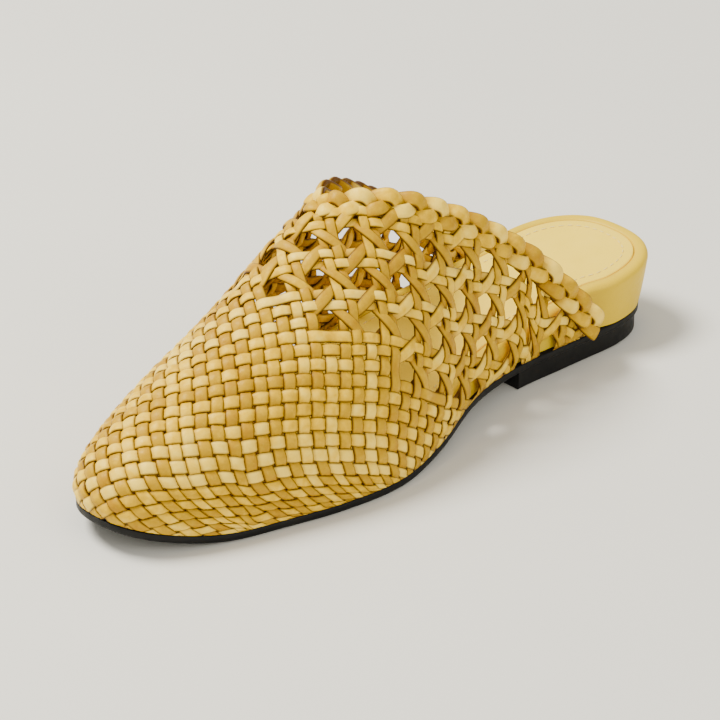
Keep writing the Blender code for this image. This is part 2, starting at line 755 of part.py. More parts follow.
def stations(count, start=0.0):
    """Shares along the length, closer together at a rounded end."""
    s = np.linspace(0, 1, count)
    if start > 0:
        return start + (1 - start) * np.sin(math.pi / 2 * s)
    return (1 - np.cos(math.pi * s)) / 2


def outsole_mesh():
    t = stations(SOLE_STATIONS)
    rings = [
        outline_ring(t, lambda s: SOLE_INSET + SOLE_BEVEL + 0 * s, sole_bottom),
        outline_ring(t, lambda s: SOLE_INSET + 0 * s, lambda s: sole_bottom(s) + SOLE_BEVEL),
        outline_ring(t, lambda s: SOLE_INSET + 0 * s, sole_top),
    ]
    return stacked_mesh(rings, True)


def lift_mesh():
    t = stations(LIFT_STATIONS, BREAST_AT)
    inset = lambda s: SOLE_INSET + LIFT_INSET + 0 * s
    rings = [
        outline_ring(t, inset, lambda s: 0 * s),
        outline_ring(t, inset, lambda s: HEEL_LIFT - FIT + 0 * s),
    ]
    return stacked_mesh(rings, False)


def wedge_inset(level):
    """Inset of the wedge's side from the feather line: inside the upper's wall, then out to the flare."""

    def inset(t):
        room = (WALL + WEDGE_ROOM + WEDGE_DRAFT * level) * covered(t)
        flare = HEEL_FLARE * level * ease(past_upper(t) / ((1 - COLLAR_END_AT) * LENGTH))
        return room + (1 - covered(t)) * SOLE_INSET - flare

    return inset


def wedge_mesh():
    t = stations(WEDGE_STATIONS)
    top = wedge_inset(1.0)
    corner = (1 - math.cos(math.pi / 4)) * RIM_RADIUS

    def sock_level(s):
        return wedge_top(s) - SOCK_THICKNESS - FIT

    rings = [
        outline_ring(t, wedge_inset(0.0), lambda s: sole_top(s) + FIT),
        outline_ring(t, top, lambda s: wedge_top(s) - RIM_RADIUS),
        outline_ring(t, lambda s: top(s) + corner, lambda s: wedge_top(s) - corner),
        outline_ring(t, lambda s: top(s) + RIM_RADIUS, wedge_top),
        outline_ring(t, lambda s: top(s) + SOCK_INSET, wedge_top),
        outline_ring(t, lambda s: top(s) + SOCK_INSET, sock_level),
    ]
    return stacked_mesh(rings, True)


def insole_mesh():
    t = stations(WEDGE_STATIONS)
    top = wedge_inset(1.0)
    inset = lambda s: top(s) + SOCK_INSET + FIT
    rings = [
        outline_ring(t, inset, lambda s: wedge_top(s) - SOCK_THICKNESS),
        outline_ring(t, inset, wedge_top),
    ]
    return stacked_mesh(rings, True)


# Materials and objects
def finish(name, colour, roughness):
    material = bpy.data.materials.new(name)
    material.use_nodes = True
    shader = material.node_tree.nodes["Principled BSDF"]
    shader.inputs["Base Color"].default_value = (*colour, 1)
    shader.inputs["Roughness"].default_value = roughness
    shader.inputs["Metallic"].default_value = 0
    return material


def add_piece(name, mesh_data, material):
    vertices, faces = mesh_data
    mesh = bpy.data.meshes.new(name)
    mesh.from_pydata([tuple(v) for v in vertices], [], [list(map(int, face)) for face in faces])
    mesh.update()
    mesh.materials.append(material)
    mesh.set_sharp_from_angle(angle=math.radians(35))
    piece = bpy.data.objects.new(name, mesh)
    bpy.context.scene.collection.objects.link(piece)
    return piece


RUBBER = finish("black_rubber", (0.012, 0.013, 0.011), 0.55)
FOOTBED_LEATHER = finish("footbed_leather", (0.70, 0.56, 0.22), 0.5)
SOCK_LEATHER = finish("sock_leather", (0.76, 0.66, 0.33), 0.5)
WOVEN_LEATHER = finish("woven_leather", (0.78, 0.50, 0.07), 0.45)
PLAITED_LEATHER = finish("plaited_leather", (0.76, 0.48, 0.08), 0.45)

PIECES = [
    add_piece("outsole", outsole_mesh(), RUBBER),
    add_piece("heel_lift", lift_mesh(), RUBBER),
    add_piece("footbed_wedge", wedge_mesh(), FOOTBED_LEATHER),
    add_piece("insole", insole_mesh(), SOCK_LEATHER),
    add_piece("upper", upper_mesh(), WOVEN_LEATHER),
    add_piece("collar_braid", braid_mesh(), PLAITED_LEATHER),
]

# The origin goes under the middle of the whole shoe
corners = np.concatenate([np.array([tuple(v.co) for v in piece.data.vertices]) for piece in PIECES])
middle = (corners.min(axis=0) + corners.max(axis=0)) / 2
for piece in PIECES:
    for vertex in piece.data.vertices:
        vertex.co.x -= middle[0]
        vertex.co.y -= middle[1]
    piece.data.update()
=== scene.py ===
# %% [markdown]
# # A woven leather slipper
#
# The object is a right babouche: a backless slipper whose upper is woven from leather strips straight on
# the last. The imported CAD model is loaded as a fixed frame. It has every piece at its real size, with the
# weave only hinted at. This lesson replaces those plain solids with leather strips that really pass over
# and under each other, a collar that is really plaited, stitches, and materials. All lengths are in metres,
# and the toe points to -Y.

import math

import bpy
import numpy as np
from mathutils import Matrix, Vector


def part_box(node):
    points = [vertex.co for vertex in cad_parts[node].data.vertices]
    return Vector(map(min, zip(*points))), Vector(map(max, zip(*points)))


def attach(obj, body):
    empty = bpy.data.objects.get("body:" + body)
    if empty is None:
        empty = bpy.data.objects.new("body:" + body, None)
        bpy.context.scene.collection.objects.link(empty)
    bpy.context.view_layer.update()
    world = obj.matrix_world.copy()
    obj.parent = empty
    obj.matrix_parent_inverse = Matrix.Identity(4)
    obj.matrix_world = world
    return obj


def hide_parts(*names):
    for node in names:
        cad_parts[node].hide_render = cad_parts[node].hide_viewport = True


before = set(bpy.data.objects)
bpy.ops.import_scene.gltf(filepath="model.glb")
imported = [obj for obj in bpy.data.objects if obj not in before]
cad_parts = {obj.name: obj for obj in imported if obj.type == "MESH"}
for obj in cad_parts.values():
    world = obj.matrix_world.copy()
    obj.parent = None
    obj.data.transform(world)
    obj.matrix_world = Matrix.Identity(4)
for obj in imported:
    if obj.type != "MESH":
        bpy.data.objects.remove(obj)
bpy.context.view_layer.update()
MM = 0.001
random = np.random.default_rng(7)

# %% [markdown]
# ## The last
#
# A shoemaker weaves over a last, a solid form of the foot, so the strips need its surface. It could be
# sampled from the CAD mesh, but that has bumps and holes in it. Here the last is written again from the
# sizes that the CAD uses: half widths from a centre line to the feather edge, where upper meets sole, and
# heights of the ridge along the top. A place along the shoe is a share t of its length, 0 at the toe and 1
# at the heel.

# %% Sizes of the last
LENGTH = 252 * MM
BALL_MEDIAL, BALL_LATERAL = 44 * MM, 41 * MM
WAIST_MEDIAL, WAIST_LATERAL = 24.5 * MM, 36.5 * MM
SEAT_MEDIAL, SEAT_LATERAL = 27 * MM, 30 * MM
TOE_REACH, TOE_SQUARENESS = 60 * MM, 2.2
SEAT_REACH, SEAT_SQUARENESS = 33 * MM, 2.3
SOLE_THICKNESS, TOE_SPRING, HEEL_LIFT = 3 * MM, 9 * MM, 7.5 * MM
FOREPART_THICKNESS, SEAT_HEIGHT = 4 * MM, 31.5 * MM
CROWN_HEIGHT, INSTEP_HEIGHT = 46 * MM, 88 * MM
CROWN_AT, THROAT_AT, COLLAR_END_AT = 0.17, 0.42, 0.835
TREAD_FROM, TREAD_TO, SHANK_END, BREAST_AT = 0.17, 0.40, 0.64, 0.71
SPRING_CURVE, RISE_CURVE = 1.8, 1.15
RIDGE_SHIFT, FIT = 8 * MM, 0.3 * MM
print("last in mm:", round(LENGTH / MM), "long,", round((BALL_MEDIAL + BALL_LATERAL) / MM), "across the ball")

# Station, medial half width, lateral half width
OUTLINE = (
    (0.06, 0.70 * BALL_MEDIAL, 0.78 * BALL_LATERAL),
    (0.12, 0.74 * BALL_MEDIAL, 0.84 * BALL_LATERAL),
    (0.20, 0.81 * BALL_MEDIAL, 0.92 * BALL_LATERAL),
    (0.30, 0.95 * BALL_MEDIAL, 0.98 * BALL_LATERAL),
    (0.39, 1.00 * BALL_MEDIAL, 1.00 * BALL_LATERAL),
    (0.50, 0.88 * BALL_MEDIAL, 0.985 * BALL_LATERAL),
    (0.60, 1.20 * WAIST_MEDIAL, 1.06 * WAIST_LATERAL),
    (0.70, 1.00 * WAIST_MEDIAL, 1.00 * WAIST_LATERAL),
    (0.80, 0.915 * SEAT_MEDIAL, 1.13 * SEAT_LATERAL),
    (0.90, 0.95 * SEAT_MEDIAL, 1.05 * SEAT_LATERAL),
    (1.00, 1.04 * SEAT_MEDIAL, 0.963 * SEAT_LATERAL),
)

# Station, height of the ridge, how flat the section's top is, how far its wall stands straight
RIDGE = (
    (0.17, 1.00 * CROWN_HEIGHT, 0.60, 0.52),
    (0.30, 0.71 * INSTEP_HEIGHT, 0.52, 0.50),
    (0.40, 0.90 * INSTEP_HEIGHT, 0.42, 0.48),
    (0.50, 1.07 * INSTEP_HEIGHT, 0.36, 0.48),
    (0.62, 1.20 * INSTEP_HEIGHT, 0.35, 0.48),
    (0.80, 1.45 * INSTEP_HEIGHT, 0.35, 0.48),
    (1.00, 1.60 * INSTEP_HEIGHT, 0.35, 0.48),
)


# %% Curves along the last
def smooth(rows, column, t):
    """A curve through a table's values, with each slope taken from the rows on both sides."""
    x = np.array([row[0] for row in rows])
    y = np.array([row[column] for row in rows])
    slope = np.gradient(y, x)
    t = np.clip(t, x[0], x[-1])
    i = np.clip(np.searchsorted(x, t) - 1, 0, len(x) - 2)
    h = x[i + 1] - x[i]
    s = (t - x[i]) / h
    start = y[i] * (1 + 2 * s) * (1 - s) ** 2 + h * slope[i] * s * (1 - s) ** 2
    end = y[i + 1] * s * s * (3 - 2 * s) - h * slope[i + 1] * s * s * (1 - s)
    return start + end


def ease(x):
    x = np.clip(x, 0, 1)
    return x * x * (3 - 2 * x)


def along(t):
    return (t - 0.5) * LENGTH


def half_width(t, side):
    def rounding(distance, reach, squareness):
        short = np.clip(1 - distance / reach, 0, 1)
        return (1 - short**squareness) ** (1 / squareness)

    width = smooth(OUTLINE, 1 if side > 0 else 2, t)
    toe = rounding(t * LENGTH, TOE_REACH, TOE_SQUARENESS)
    return width * toe * rounding((1 - t) * LENGTH, SEAT_REACH, SEAT_SQUARENESS)


def sole_bottom(t):
    spring = TOE_SPRING * np.clip(1 - t / TREAD_FROM, 0, 1) ** SPRING_CURVE
    return spring + HEEL_LIFT * ease((t - TREAD_TO) / (SHANK_END - TREAD_TO))


def sole_top(t):
    return sole_bottom(t) + SOLE_THICKNESS


def wedge_top(t):
    rise = SEAT_HEIGHT - HEEL_LIFT - SOLE_THICKNESS - FOREPART_THICKNESS
    back = np.clip((t - TREAD_TO) / (1 - TREAD_TO), 0, 1)
    return sole_top(t) + FOREPART_THICKNESS + rise * back**RISE_CURVE


print("seat height in mm:", round(wedge_top(1.0) / MM, 1))

# %% [markdown]
# ## Rays over the last
#
# The upper's skin is a fan of curves: over the toe they run out from the crown, and behind it each runs
# straight across from the ridge down to the feather edge. Reading the curves at equal distances turns them
# into a chart, a flat map on which a place is (distance across from the ridge, distance back from the
# crown). A table of the points a millimetre apart makes looking up thousands of places fast, which a
# formula for every place would not be.

# %% Build the chart's table
FINE = 1 * MM
REACH_STEPS = 170
TOE_RAYS, SPINE_RAYS = 90, 260
TOE_SAMPLES, RAY_SAMPLES, SLOPE_STEP = 400, 120, 0.004
SQUARE = math.pi / 2


def bezier(p0, p1, p2, p3, u):
    u = u[..., None]
    return p0 * (1 - u) ** 3 + 3 * p1 * u * (1 - u) ** 2 + 3 * p2 * u * u * (1 - u) + p3 * u**3


def ray_controls(t, turn, side):
    """Control points of rays from the ridge at t. A turn of 90 degrees runs straight across, less forward."""
    toe_t = CROWN_AT * np.linspace(0, 1, TOE_SAMPLES) ** 2
    toe_angle = np.arctan2(half_width(toe_t, side), along(CROWN_AT) - along(toe_t))
    end = np.where(turn < SQUARE - 1e-9, np.interp(turn, toe_angle, toe_t), t)
    ridge, flat, straight = (smooth(RIDGE, column, t) for column in (1, 2, 3))
    slope = (smooth(RIDGE, 1, t + SLOPE_STEP) - ridge) / (SLOPE_STEP * LENGTH)
    x0 = -RIDGE_SHIFT * ease((t - CROWN_AT) / (THROAT_AT - CROWN_AT))
    x3, y0, y3 = side * half_width(end, side), along(t), along(end)
    z3 = sole_top(end) + FIT
    p0 = np.stack([x0, y0, ridge], -1)
    p1 = np.stack([x0 + flat * (x3 - x0), y0 + flat * (y3 - y0), ridge + slope * flat * (y3 - y0)], -1)
    p2 = np.stack([x3, y3, z3 + straight * (ridge - z3)], -1)
    return p0, p1, p2, np.stack([x3, y3, z3], -1)


def measured_rays(t, turn, side):
    """Points along each ray, and their distances from its start."""
    controls = [p[:, None] for p in ray_controls(t, turn, side)]
    path = bezier(*controls, np.broadcast_to(np.linspace(0, 1, RAY_SAMPLES), (len(t), RAY_SAMPLES)))
    steps = np.linalg.norm(np.diff(path, axis=1), axis=2)
    return path, np.concatenate([np.zeros((len(t), 1)), np.cumsum(steps, axis=1)], axis=1)


def lengths_along(line):
    """Distance of each point of a line from its start."""
    return np.concatenate([[0], np.cumsum(np.linalg.norm(np.diff(line, axis=0), axis=1))])


def ray_table(t, turn, side):
    """Points a step apart along each ray, straight down past the feather edge, and each ray's length."""
    path, lengths = measured_rays(t, turn, side)
    distance = np.arange(REACH_STEPS) * FINE
    table = np.empty((len(t), REACH_STEPS, 3))
    for k, row in enumerate(lengths):
        for axis in range(3):
            table[k, :, axis] = np.interp(distance, row, path[k, :, axis])
        table[k, :, 2] -= np.maximum(distance - row[-1], 0)
    return table, lengths[:, -1]


toe_turn = np.linspace(0, SQUARE, TOE_RAYS + 1)
spine_t = np.linspace(CROWN_AT, 1, SPINE_RAYS + 1)
ray_t = np.concatenate([np.full(TOE_RAYS, CROWN_AT), spine_t])
ray_turn = np.concatenate([toe_turn[:-1], np.full(SPINE_RAYS + 1, SQUARE)])
TABLES = {side: ray_table(ray_t, ray_turn, side) for side in (1, -1)}
spine_path = TABLES[1][0][TOE_RAYS:, 0]
spine_back = lengths_along(spine_path)
print("ridge from crown to heel in mm:", round(spine_back[-1] / MM, 1))


# %% [markdown]
# ## Reading the chart
#
# A chart place becomes a point on the last by blending the four nearest points of the table. The surface's
# outward direction comes from two short steps across and back. A place past the feather edge can be held at
# the edge, so that a strip's end is trimmed flush along the sole, as the knife does it.

# %% Look up chart places
def ray_place(a, b):
    """Ray number, side and distance of chart places."""
    turn = np.arctan2(np.abs(a), np.maximum(-b, 1e-9))
    toe_ray = np.minimum(turn / SQUARE, 1) * TOE_RAYS
    spine_ray = TOE_RAYS + np.interp(b, spine_back, np.arange(SPINE_RAYS + 1))
    distance = np.where(b < 0, np.hypot(a, b), np.abs(a))
    return np.where(b < 0, toe_ray, spine_ray), np.where(a >= 0, 1, -1), distance


def reach_of(ray, side):
    """Distance from the ridge to the feather edge along a ray."""
    numbers = np.arange(TOE_RAYS + SPINE_RAYS + 1)
    medial, lateral = (np.interp(ray, numbers, TABLES[which][1]) for which in (1, -1))
    return np.where(side > 0, medial, lateral)


def skin(a, b, trim=False):
    """Points on the last at chart places."""
    ray, side, distance = ray_place(a, b)
    if trim:
        distance = np.minimum(distance, reach_of(ray, side))
    i = np.clip(ray.astype(int), 0, TOE_RAYS + SPINE_RAYS - 1)
    k = np.clip((distance / FINE).astype(int), 0, REACH_STEPS - 2)
    p, q = (ray - i)[..., None], (distance / FINE - k)[..., None]
    out = np.empty(np.shape(a) + (3,))
    for which in (1, -1):
        pick = side == which
        table = TABLES[which][0]
        near = table[i[pick], k[pick]] * (1 - q[pick]) + table[i[pick], k[pick] + 1] * q[pick]
        far = table[i[pick] + 1, k[pick]] * (1 - q[pick]) + table[i[pick] + 1, k[pick] + 1] * q[pick]
        out[pick] = near * (1 - p[pick]) + far * p[pick]
    return out


def unit(vectors):
    return vectors / np.maximum(np.linalg.norm(vectors, axis=-1, keepdims=True), 1e-12)


def outward(a, b):
    """Unit directions out of the last at chart places."""
    step = 1.2 * MM
    across = skin(a + step, b) - skin(a - step, b)
    back = skin(a, b + step) - skin(a, b - step)
    return unit(np.cross(across, back))


print("out of the last at the crown:", np.round(outward(np.zeros(1), np.zeros(1))[0], 2))

# %% [markdown]
# ## The edge of the upper
#
# The weave ends at the feather edge all round the toe and sides, and at the collar over the instep. The
# collar dips faster on the lateral side, and crosses the ridge square on, which rounds the throat.

# %% Draw the edge in the chart
COLLAR_SWEEP = {1: 1.1, -1: 1.5}
THROAT_ROUNDING = 0.25
EDGE_SAMPLES = 120


def collar_chart(share, side):
    """Chart places of the collar, from the ridge at share 0 to the feather edge at share 1."""
    back = share ** COLLAR_SWEEP[side] * share * (1 + THROAT_ROUNDING) / (share + THROAT_ROUNDING)
    t = THROAT_AT + (COLLAR_END_AT - THROAT_AT) * back
    lengths = measured_rays(t, np.full(len(t), SQUARE), side)[1]
    u = np.linspace(0, 1, RAY_SAMPLES)
    distance = np.array([np.interp(s, u, row) for s, row in zip(share, lengths)])
    return np.stack([side * distance, np.interp(t, spine_t, spine_back)], -1)


def feather_chart(side):
    """Chart places of the feather edge, from the tip of the toe to the end of the collar."""
    rays = np.arange(TOE_RAYS + 1)
    reach = TABLES[side][1][rays]
    toe = np.stack([side * reach * np.sin(toe_turn), -reach * np.cos(toe_turn)], -1)
    t = np.linspace(CROWN_AT, COLLAR_END_AT, EDGE_SAMPLES)[1:]
    reach = np.interp(t, spine_t, TABLES[side][1][TOE_RAYS:])
    return np.concatenate([toe, np.stack([side * reach, np.interp(t, spine_t, spine_back)], -1)])


shares = np.linspace(0, 1, EDGE_SAMPLES)
medial_collar, lateral_collar = collar_chart(shares, 1), collar_chart(shares, -1)
EDGE = np.concatenate(
    [feather_chart(1), medial_collar[::-1][1:], lateral_collar[1:-1], feather_chart(-1)[::-1][:-1]]
)
COLLAR = np.concatenate([medial_collar[::-1], lateral_collar[1:]])


def inside(loop, places):
    """Whether each place lies inside a closed loop of chart places."""
    x, y = places[:, 0][:, None], places[:, 1][:, None]
    x0, y0 = loop[:, 0], loop[:, 1]
    x1, y1 = np.roll(x0, -1), np.roll(y0, -1)
    crosses = (y0 > y) != (y1 > y)
    height = np.where(y1 == y0, 1, y1 - y0)
    return (crosses & (x < x0 + (y - y0) / height * (x1 - x0))).sum(axis=1) % 2 == 1


def distance_to(path, places):
    """Distance in the chart from each place to the nearest side of an open path."""
    p, start, end = places[:, None], path[None, :-1], path[None, 1:]
    side = end - start
    share = np.clip(((p - start) * side).sum(2) / np.maximum((side**2).sum(2), 1e-16), 0, 1)
    return np.linalg.norm(p - start - share[..., None] * side, axis=2).min(axis=1)


print("edge points:", len(EDGE), "ridge to feather edge in mm:", round(medial_collar[-1, 0] / MM, 1))

# %% [markdown]
# ## The net of crossings
#
# Strips don't stretch, so a weaver's crossings keep their spacing however the last curves. Two ways to lay
# such a lattice are a flat grid, which stretches down the sides, and a net of equal steps. This is the net:
# crossings on the ridge are given, and each other one lies a pitch from the two before it, found by a few
# Newton steps. The lattice runs at 45 degrees to the ridge, and h and v count crossings along its two
# directions.

# %% Lay the net
PITCH = 15.1 * MM
LATTICE_ACROSS, LATTICE_ALONG = -6.2 * MM, 2.5 * MM
WEAVE_REACH, WEAVE_LEVELS = 20, 14
NEWTON_ROUNDS, NEWTON_STEP, DAMPING = 8, 0.3 * MM, 0.02


def pitch_away(place, near, far):
    """Moves chart places until each is a pitch from both of its neighbours."""
    ends = [skin(*near.T), skin(*far.T)]

    def misfit(at):
        return np.stack([np.linalg.norm(skin(*at.T) - end, axis=1) - PITCH for end in ends], -1)

    for _ in range(NEWTON_ROUNDS):
        wrong = misfit(place)
        trials = NEWTON_STEP * np.eye(2)
        slope = np.stack([(misfit(place + trial) - wrong) / NEWTON_STEP for trial in trials], -1)
        turned = np.swapaxes(slope, 1, 2)
        move = np.linalg.solve(turned @ slope + DAMPING * np.eye(2), turned @ wrong[..., None])[..., 0]
        place = place - np.clip(move, -PITCH / 3, PITCH / 3)
    return place


def crossings():
    """All crossings, first the row on the ridge and then a level at a time down each side."""
    nodes = np.full((2 * WEAVE_REACH + 1, 2 * WEAVE_REACH + 1, 2), np.nan)
    m = np.arange(-WEAVE_REACH, WEAVE_REACH + 1)
    nodes[m + WEAVE_REACH, WEAVE_REACH - m] = np.stack(
        [np.full(len(m), LATTICE_ACROSS), LATTICE_ALONG + m * math.sqrt(2) * PITCH], -1
    )
    for side in (1, -1):
        for level in range(1, WEAVE_LEVELS + 1):
            h = np.arange(-WEAVE_REACH + level, WEAVE_REACH + 1) - (0 if side > 0 else level)
            v = side * level - h
            near = nodes[h - side + WEAVE_REACH, v + WEAVE_REACH]
            far = nodes[h + WEAVE_REACH, v - side + WEAVE_REACH]
            if level == 1:
                place = (near + far) / 2 + np.array([side * PITCH / math.sqrt(2), 0])
            else:
                place = near + far - nodes[h - side + WEAVE_REACH, v - side + WEAVE_REACH]
            nodes[h + WEAVE_REACH, v + WEAVE_REACH] = pitch_away(place, near, far)
    return nodes


CROSSINGS = crossings()


def lattice_to_chart(h, v):
    """Chart places of lattice places, on a smooth surface through the sixteen crossings around each."""
    h, v = np.asarray(h, float) + WEAVE_REACH, np.asarray(v, float) + WEAVE_REACH
    i = np.clip(np.floor(h).astype(int), 1, 2 * WEAVE_REACH - 2)
    j = np.clip(np.floor(v).astype(int), 1, 2 * WEAVE_REACH - 2)

    def weights(s):
        return (
            (-s + 2 * s**2 - s**3) / 2,
            (2 - 5 * s**2 + 3 * s**3) / 2,
            (s + 4 * s**2 - 3 * s**3) / 2,
            (-(s**2) + s**3) / 2,
        )

    total = np.zeros(h.shape + (2,))
    for m, along_h in enumerate(weights(h - i)):
        for n, along_v in enumerate(weights(v - j)):
            total += (along_h * along_v)[..., None] * CROSSINGS[i + m - 1, j + n - 1]
    return total


print("crossings laid:", int(np.isfinite(CROSSINGS[..., 0]).sum()))

# %% [markdown]
# ## Where the weave opens
#
# Over the toe three strips fill each pitch in a plain weave. Behind a line that runs back down both sides,
# the middle strip of every three is left out and diagonals take its place, which leaves an eight-sided hole
# in each cell, as in the cane seat of a chair. A cell counts as open by the chart place of its middle.

# %% Find the open cells
OPEN_BACK, OPEN_SLANT = 32 * MM, 0.68
LATTICE_MARGIN = 3
SPAN = range(-WEAVE_REACH + LATTICE_MARGIN, WEAVE_REACH - LATTICE_MARGIN)
numbers = np.array([(i, j) for i in SPAN for j in SPAN])
middles = lattice_to_chart(numbers[:, 0] + 0.5, numbers[:, 1] + 0.5)
is_open = middles[:, 1] > OPEN_BACK + OPEN_SLANT * np.abs(middles[:, 0])
OPEN = {(int(i), int(j)) for (i, j), yes in zip(numbers, is_open) if yes}


def cane_share(i, j):
    """Share of the four cells round a crossing that are open."""
    return sum((i - m, j - n) in OPEN for m in (0, 1) for n in (0, 1)) / 4


print("open cells over the whole lattice:", len(OPEN))

# %% [markdown]
# ## Who passes over whom
#
# Each strip is named by its node number and its place: -1 and 1 for the two of a pair, 0 for the middle
# strip between this node and the next. Over and under alternate like a chessboard, and the cane is the same
# weave with its middle strips left out, so no strip ever floats over two others. The rule is one sum of
# node numbers.

# %% Decide each crossing
PAIR_PLAIN, PAIR_CANE = 1 / 6, 0.1275
TURN = {-1: -1, 1: 0, 0: 1}


def weft_is_over(i, place_i, j, place_j):
    """Whether the strip along h at (j, place_j) lies over the strip along v at (i, place_i)."""
    column = 3 * i + TURN[place_i]
    row = 3 * j + TURN[place_j]
    return (column + row) % 2 == 0


def spread(share):
    """How far the two of a pair lie from their node, in pitches."""
    return PAIR_PLAIN + (PAIR_CANE - PAIR_PLAIN) * share


def pair_offset(i, j):
    return spread(cane_share(i, j))


print("pairs spread by mm:", [round(spread(share) * PITCH / MM, 2) for share in (0, 1)])

# %% [markdown]
# ## One strip
#
# A strip is a closed ribbon with a domed section, swept along a line of the lattice. Its height follows a
# list of events, each a position and a level: over, under, or level between two diagonals. Every vertex of
# it is placed through the net, so its sides stay parallel to its neighbours' and its end is trimmed on the
# feather edge. Noise in the line, the width and the tilt keeps the strips from looking machined.

# %% Sweep a ribbon through the net
STRIP_THICKNESS = 1.5 * MM
STRIP_STEP = 0.075
SECTION_TOP = [(-1, -0.1), (-0.93, 0.35), (-0.66, 0.8), (0, 1.0), (0.66, 0.8), (0.93, 0.35), (1, -0.1)]
SECTION = np.array(SECTION_TOP + [(0.75, -0.8), (-0.75, -0.8)])
MIDDLE = 3
# The underside's sign turns the written depth over, so the painted shade falls on whichever face lies under a
# crossing strip
OUTER_SIDE = np.where(SECTION[:, 1] < -0.5, -1, 1)
HIDE_UNDER_BRAID = 3.0 * MM
SETTLE, SINK = 4.5 * MM, 0.3 * MM


def level_at(events, s):
    """Heights between events, easing from each to the next."""
    at, level = np.array(sorted(events)).T
    k = np.clip(np.searchsorted(at, s) - 1, 0, len(at) - 2)
    share = np.clip((s - at[k]) / np.maximum(at[k + 1] - at[k], 1e-9), 0, 1)
    return level[k] + (level[k + 1] - level[k]) * (1 - np.cos(math.pi * share)) / 2


def wander(count, amount, slow):
    """Smooth noise along a strip."""
    knots = random.normal(0, amount, count // slow + 3)
    return np.interp(np.arange(count) / slow, np.arange(len(knots)), knots)


def runs_of(flags):
    """Start and end of each unbroken run of true values."""
    ends = np.flatnonzero(np.diff(np.concatenate([[0], np.asarray(flags, int), [0]])))
    return list(zip(ends[::2], ends[1::2]))


def wall_faces(count, sides, first=0):
    """Faces between rings of points, numbered one ring after another."""
    k, s = np.meshgrid(np.arange(count - 1), np.arange(sides), indexing="ij")
    n = (s + 1) % sides
    quads = np.stack([k * sides + s, k * sides + n, (k + 1) * sides + n, (k + 1) * sides + s], -1)
    return quads.reshape(-1, 4) + first


def tube_faces(count, sides, first, turned=False):
    """Faces of a closed tube of rings, turned over where the rings run the other way round."""
    wall = wall_faces(count, sides, first)
    start, end = ([first + k * sides + q for q in range(sides)] for k in (0, count - 1))
    if turned:
        return wall[:, [0, 3, 2, 1]].tolist() + [start, end[::-1]]
    return wall.tolist() + [start[::-1], end]


class Strips:
    """Collects ribbons into one mesh, with values on each vertex for the material."""

    def __init__(self):
        self.points, self.faces, self.values = [], [], {"tint": [], "across": [], "depth": []}

    def add(self, h, v, side_h, side_v, level, width, tint):
        """A ribbon along lattice places, with its width in pitches along (side_h, side_v)."""
        across = SECTION[:, 0] * width[:, None] / 2
        chart = lattice_to_chart(h[:, None] + side_h * across, v[:, None] + side_v * across)
        known = np.isfinite(chart).all(axis=(1, 2))
        if known.sum() < 4:
            return
        a, b = np.moveaxis(chart[known], -1, 0)
        level, tint = level[known], tint[known]
        lean = wander(len(level), 0.09 * MM, 9)
        ray, side, distance = ray_place(a, b)
        reach = reach_of(ray, side)
        height = level[:, None] + lean[:, None] * SECTION[:, 0] + SECTION[:, 1] * STRIP_THICKNESS / 2
        settled = ease((reach - distance) / SETTLE)
        height = height * settled - SINK * (1 - settled)
        place = skin(a, b, trim=True) + outward(a, b) * height[..., None]
        pull = np.minimum(1, 0.999 * reach / np.maximum(distance, 1e-9))[:, MIDDLE]
        middle = np.stack([a[:, MIDDLE] * pull, np.where(b[:, MIDDLE] < 0, pull, 1) * b[:, MIDDLE]], -1)
        kept = inside(EDGE, middle)
        kept[~kept] = distance_to(COLLAR, middle[~kept]) < HIDE_UNDER_BRAID
        kept &= (distance < reach).any(axis=1)
        self.sweep(place, kept, level, tint)

    def sweep(self, place, kept, level, tint):
        """Faces and values for each run of sections that is kept."""
        for start, end in runs_of(kept):
            if end - start < 3:
                continue
            sides = len(SECTION)
            self.faces += tube_faces(end - start, sides, sum(len(p) for p in self.points), turned=True)
            self.points.append(place[start:end].reshape(-1, 3))
            self.values["tint"].append(np.repeat(tint[start:end], sides))
            self.values["across"].append(np.tile(SECTION[:, 0], end - start))
            # Depth on each vertex, read by the material for the painted shade where the strip dives under its
            # neighbour
            self.values["depth"].append((level[start:end, None] * OUTER_SIDE).ravel() / MM)


# %% [markdown]
# ## From points to pieces
#
# One helper turns points and faces into a smooth-shaded object, writes the values that the materials read,
# and ties it to the frame. The last has its own origin at the middle of the footbed, while the frame's is
# under the middle of the whole shoe, so every piece moves by the difference. That is measured on the
# outsole, which both share.

# %% Make pieces
SOLE_INSET = 0.4 * MM
t = np.linspace(0, 1, 600)
outline = np.concatenate([np.stack([side * half_width(t, side), along(t)], -1) for side in (1, -1)])
sole_low, sole_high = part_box("outsole")
SHIFT = np.array([(sole_low.x + sole_high.x) / 2, (sole_low.y + sole_high.y) / 2, 0])
SHIFT[:2] -= (outline.min(axis=0) + outline.max(axis=0)) / 2
print("origin moves by mm:", np.round(SHIFT / MM, 2))


def make_piece(name, points, faces, slot, replaces=None, values=None, crease=None):
    mesh = bpy.data.meshes.new(name)
    mesh.from_pydata((np.asarray(points) + SHIFT).tolist(), [], faces)
    mesh.validate()
    mesh.shade_smooth()
    if crease is not None:
        mesh.set_sharp_from_angle(angle=math.radians(crease))
    for key, numbers in (values or {}).items():
        mesh.attributes.new(key, "FLOAT", "POINT").data.foreach_set("value", np.asarray(numbers, np.float32))
    piece = bpy.data.objects.new(name, mesh)
    bpy.context.scene.collection.objects.link(piece)
    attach(piece, "root")
    if replaces:
        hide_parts(replaces)
    print(name, "faces:", len(faces))
    return piece


def joined(values):
    return {key: np.concatenate(numbers) for key, numbers in values.items()}


def strips_piece(name, strips):
    points = np.concatenate(strips.points)
    return make_piece(name, points, strips.faces, "woven_leather", "upper", joined(strips.values))


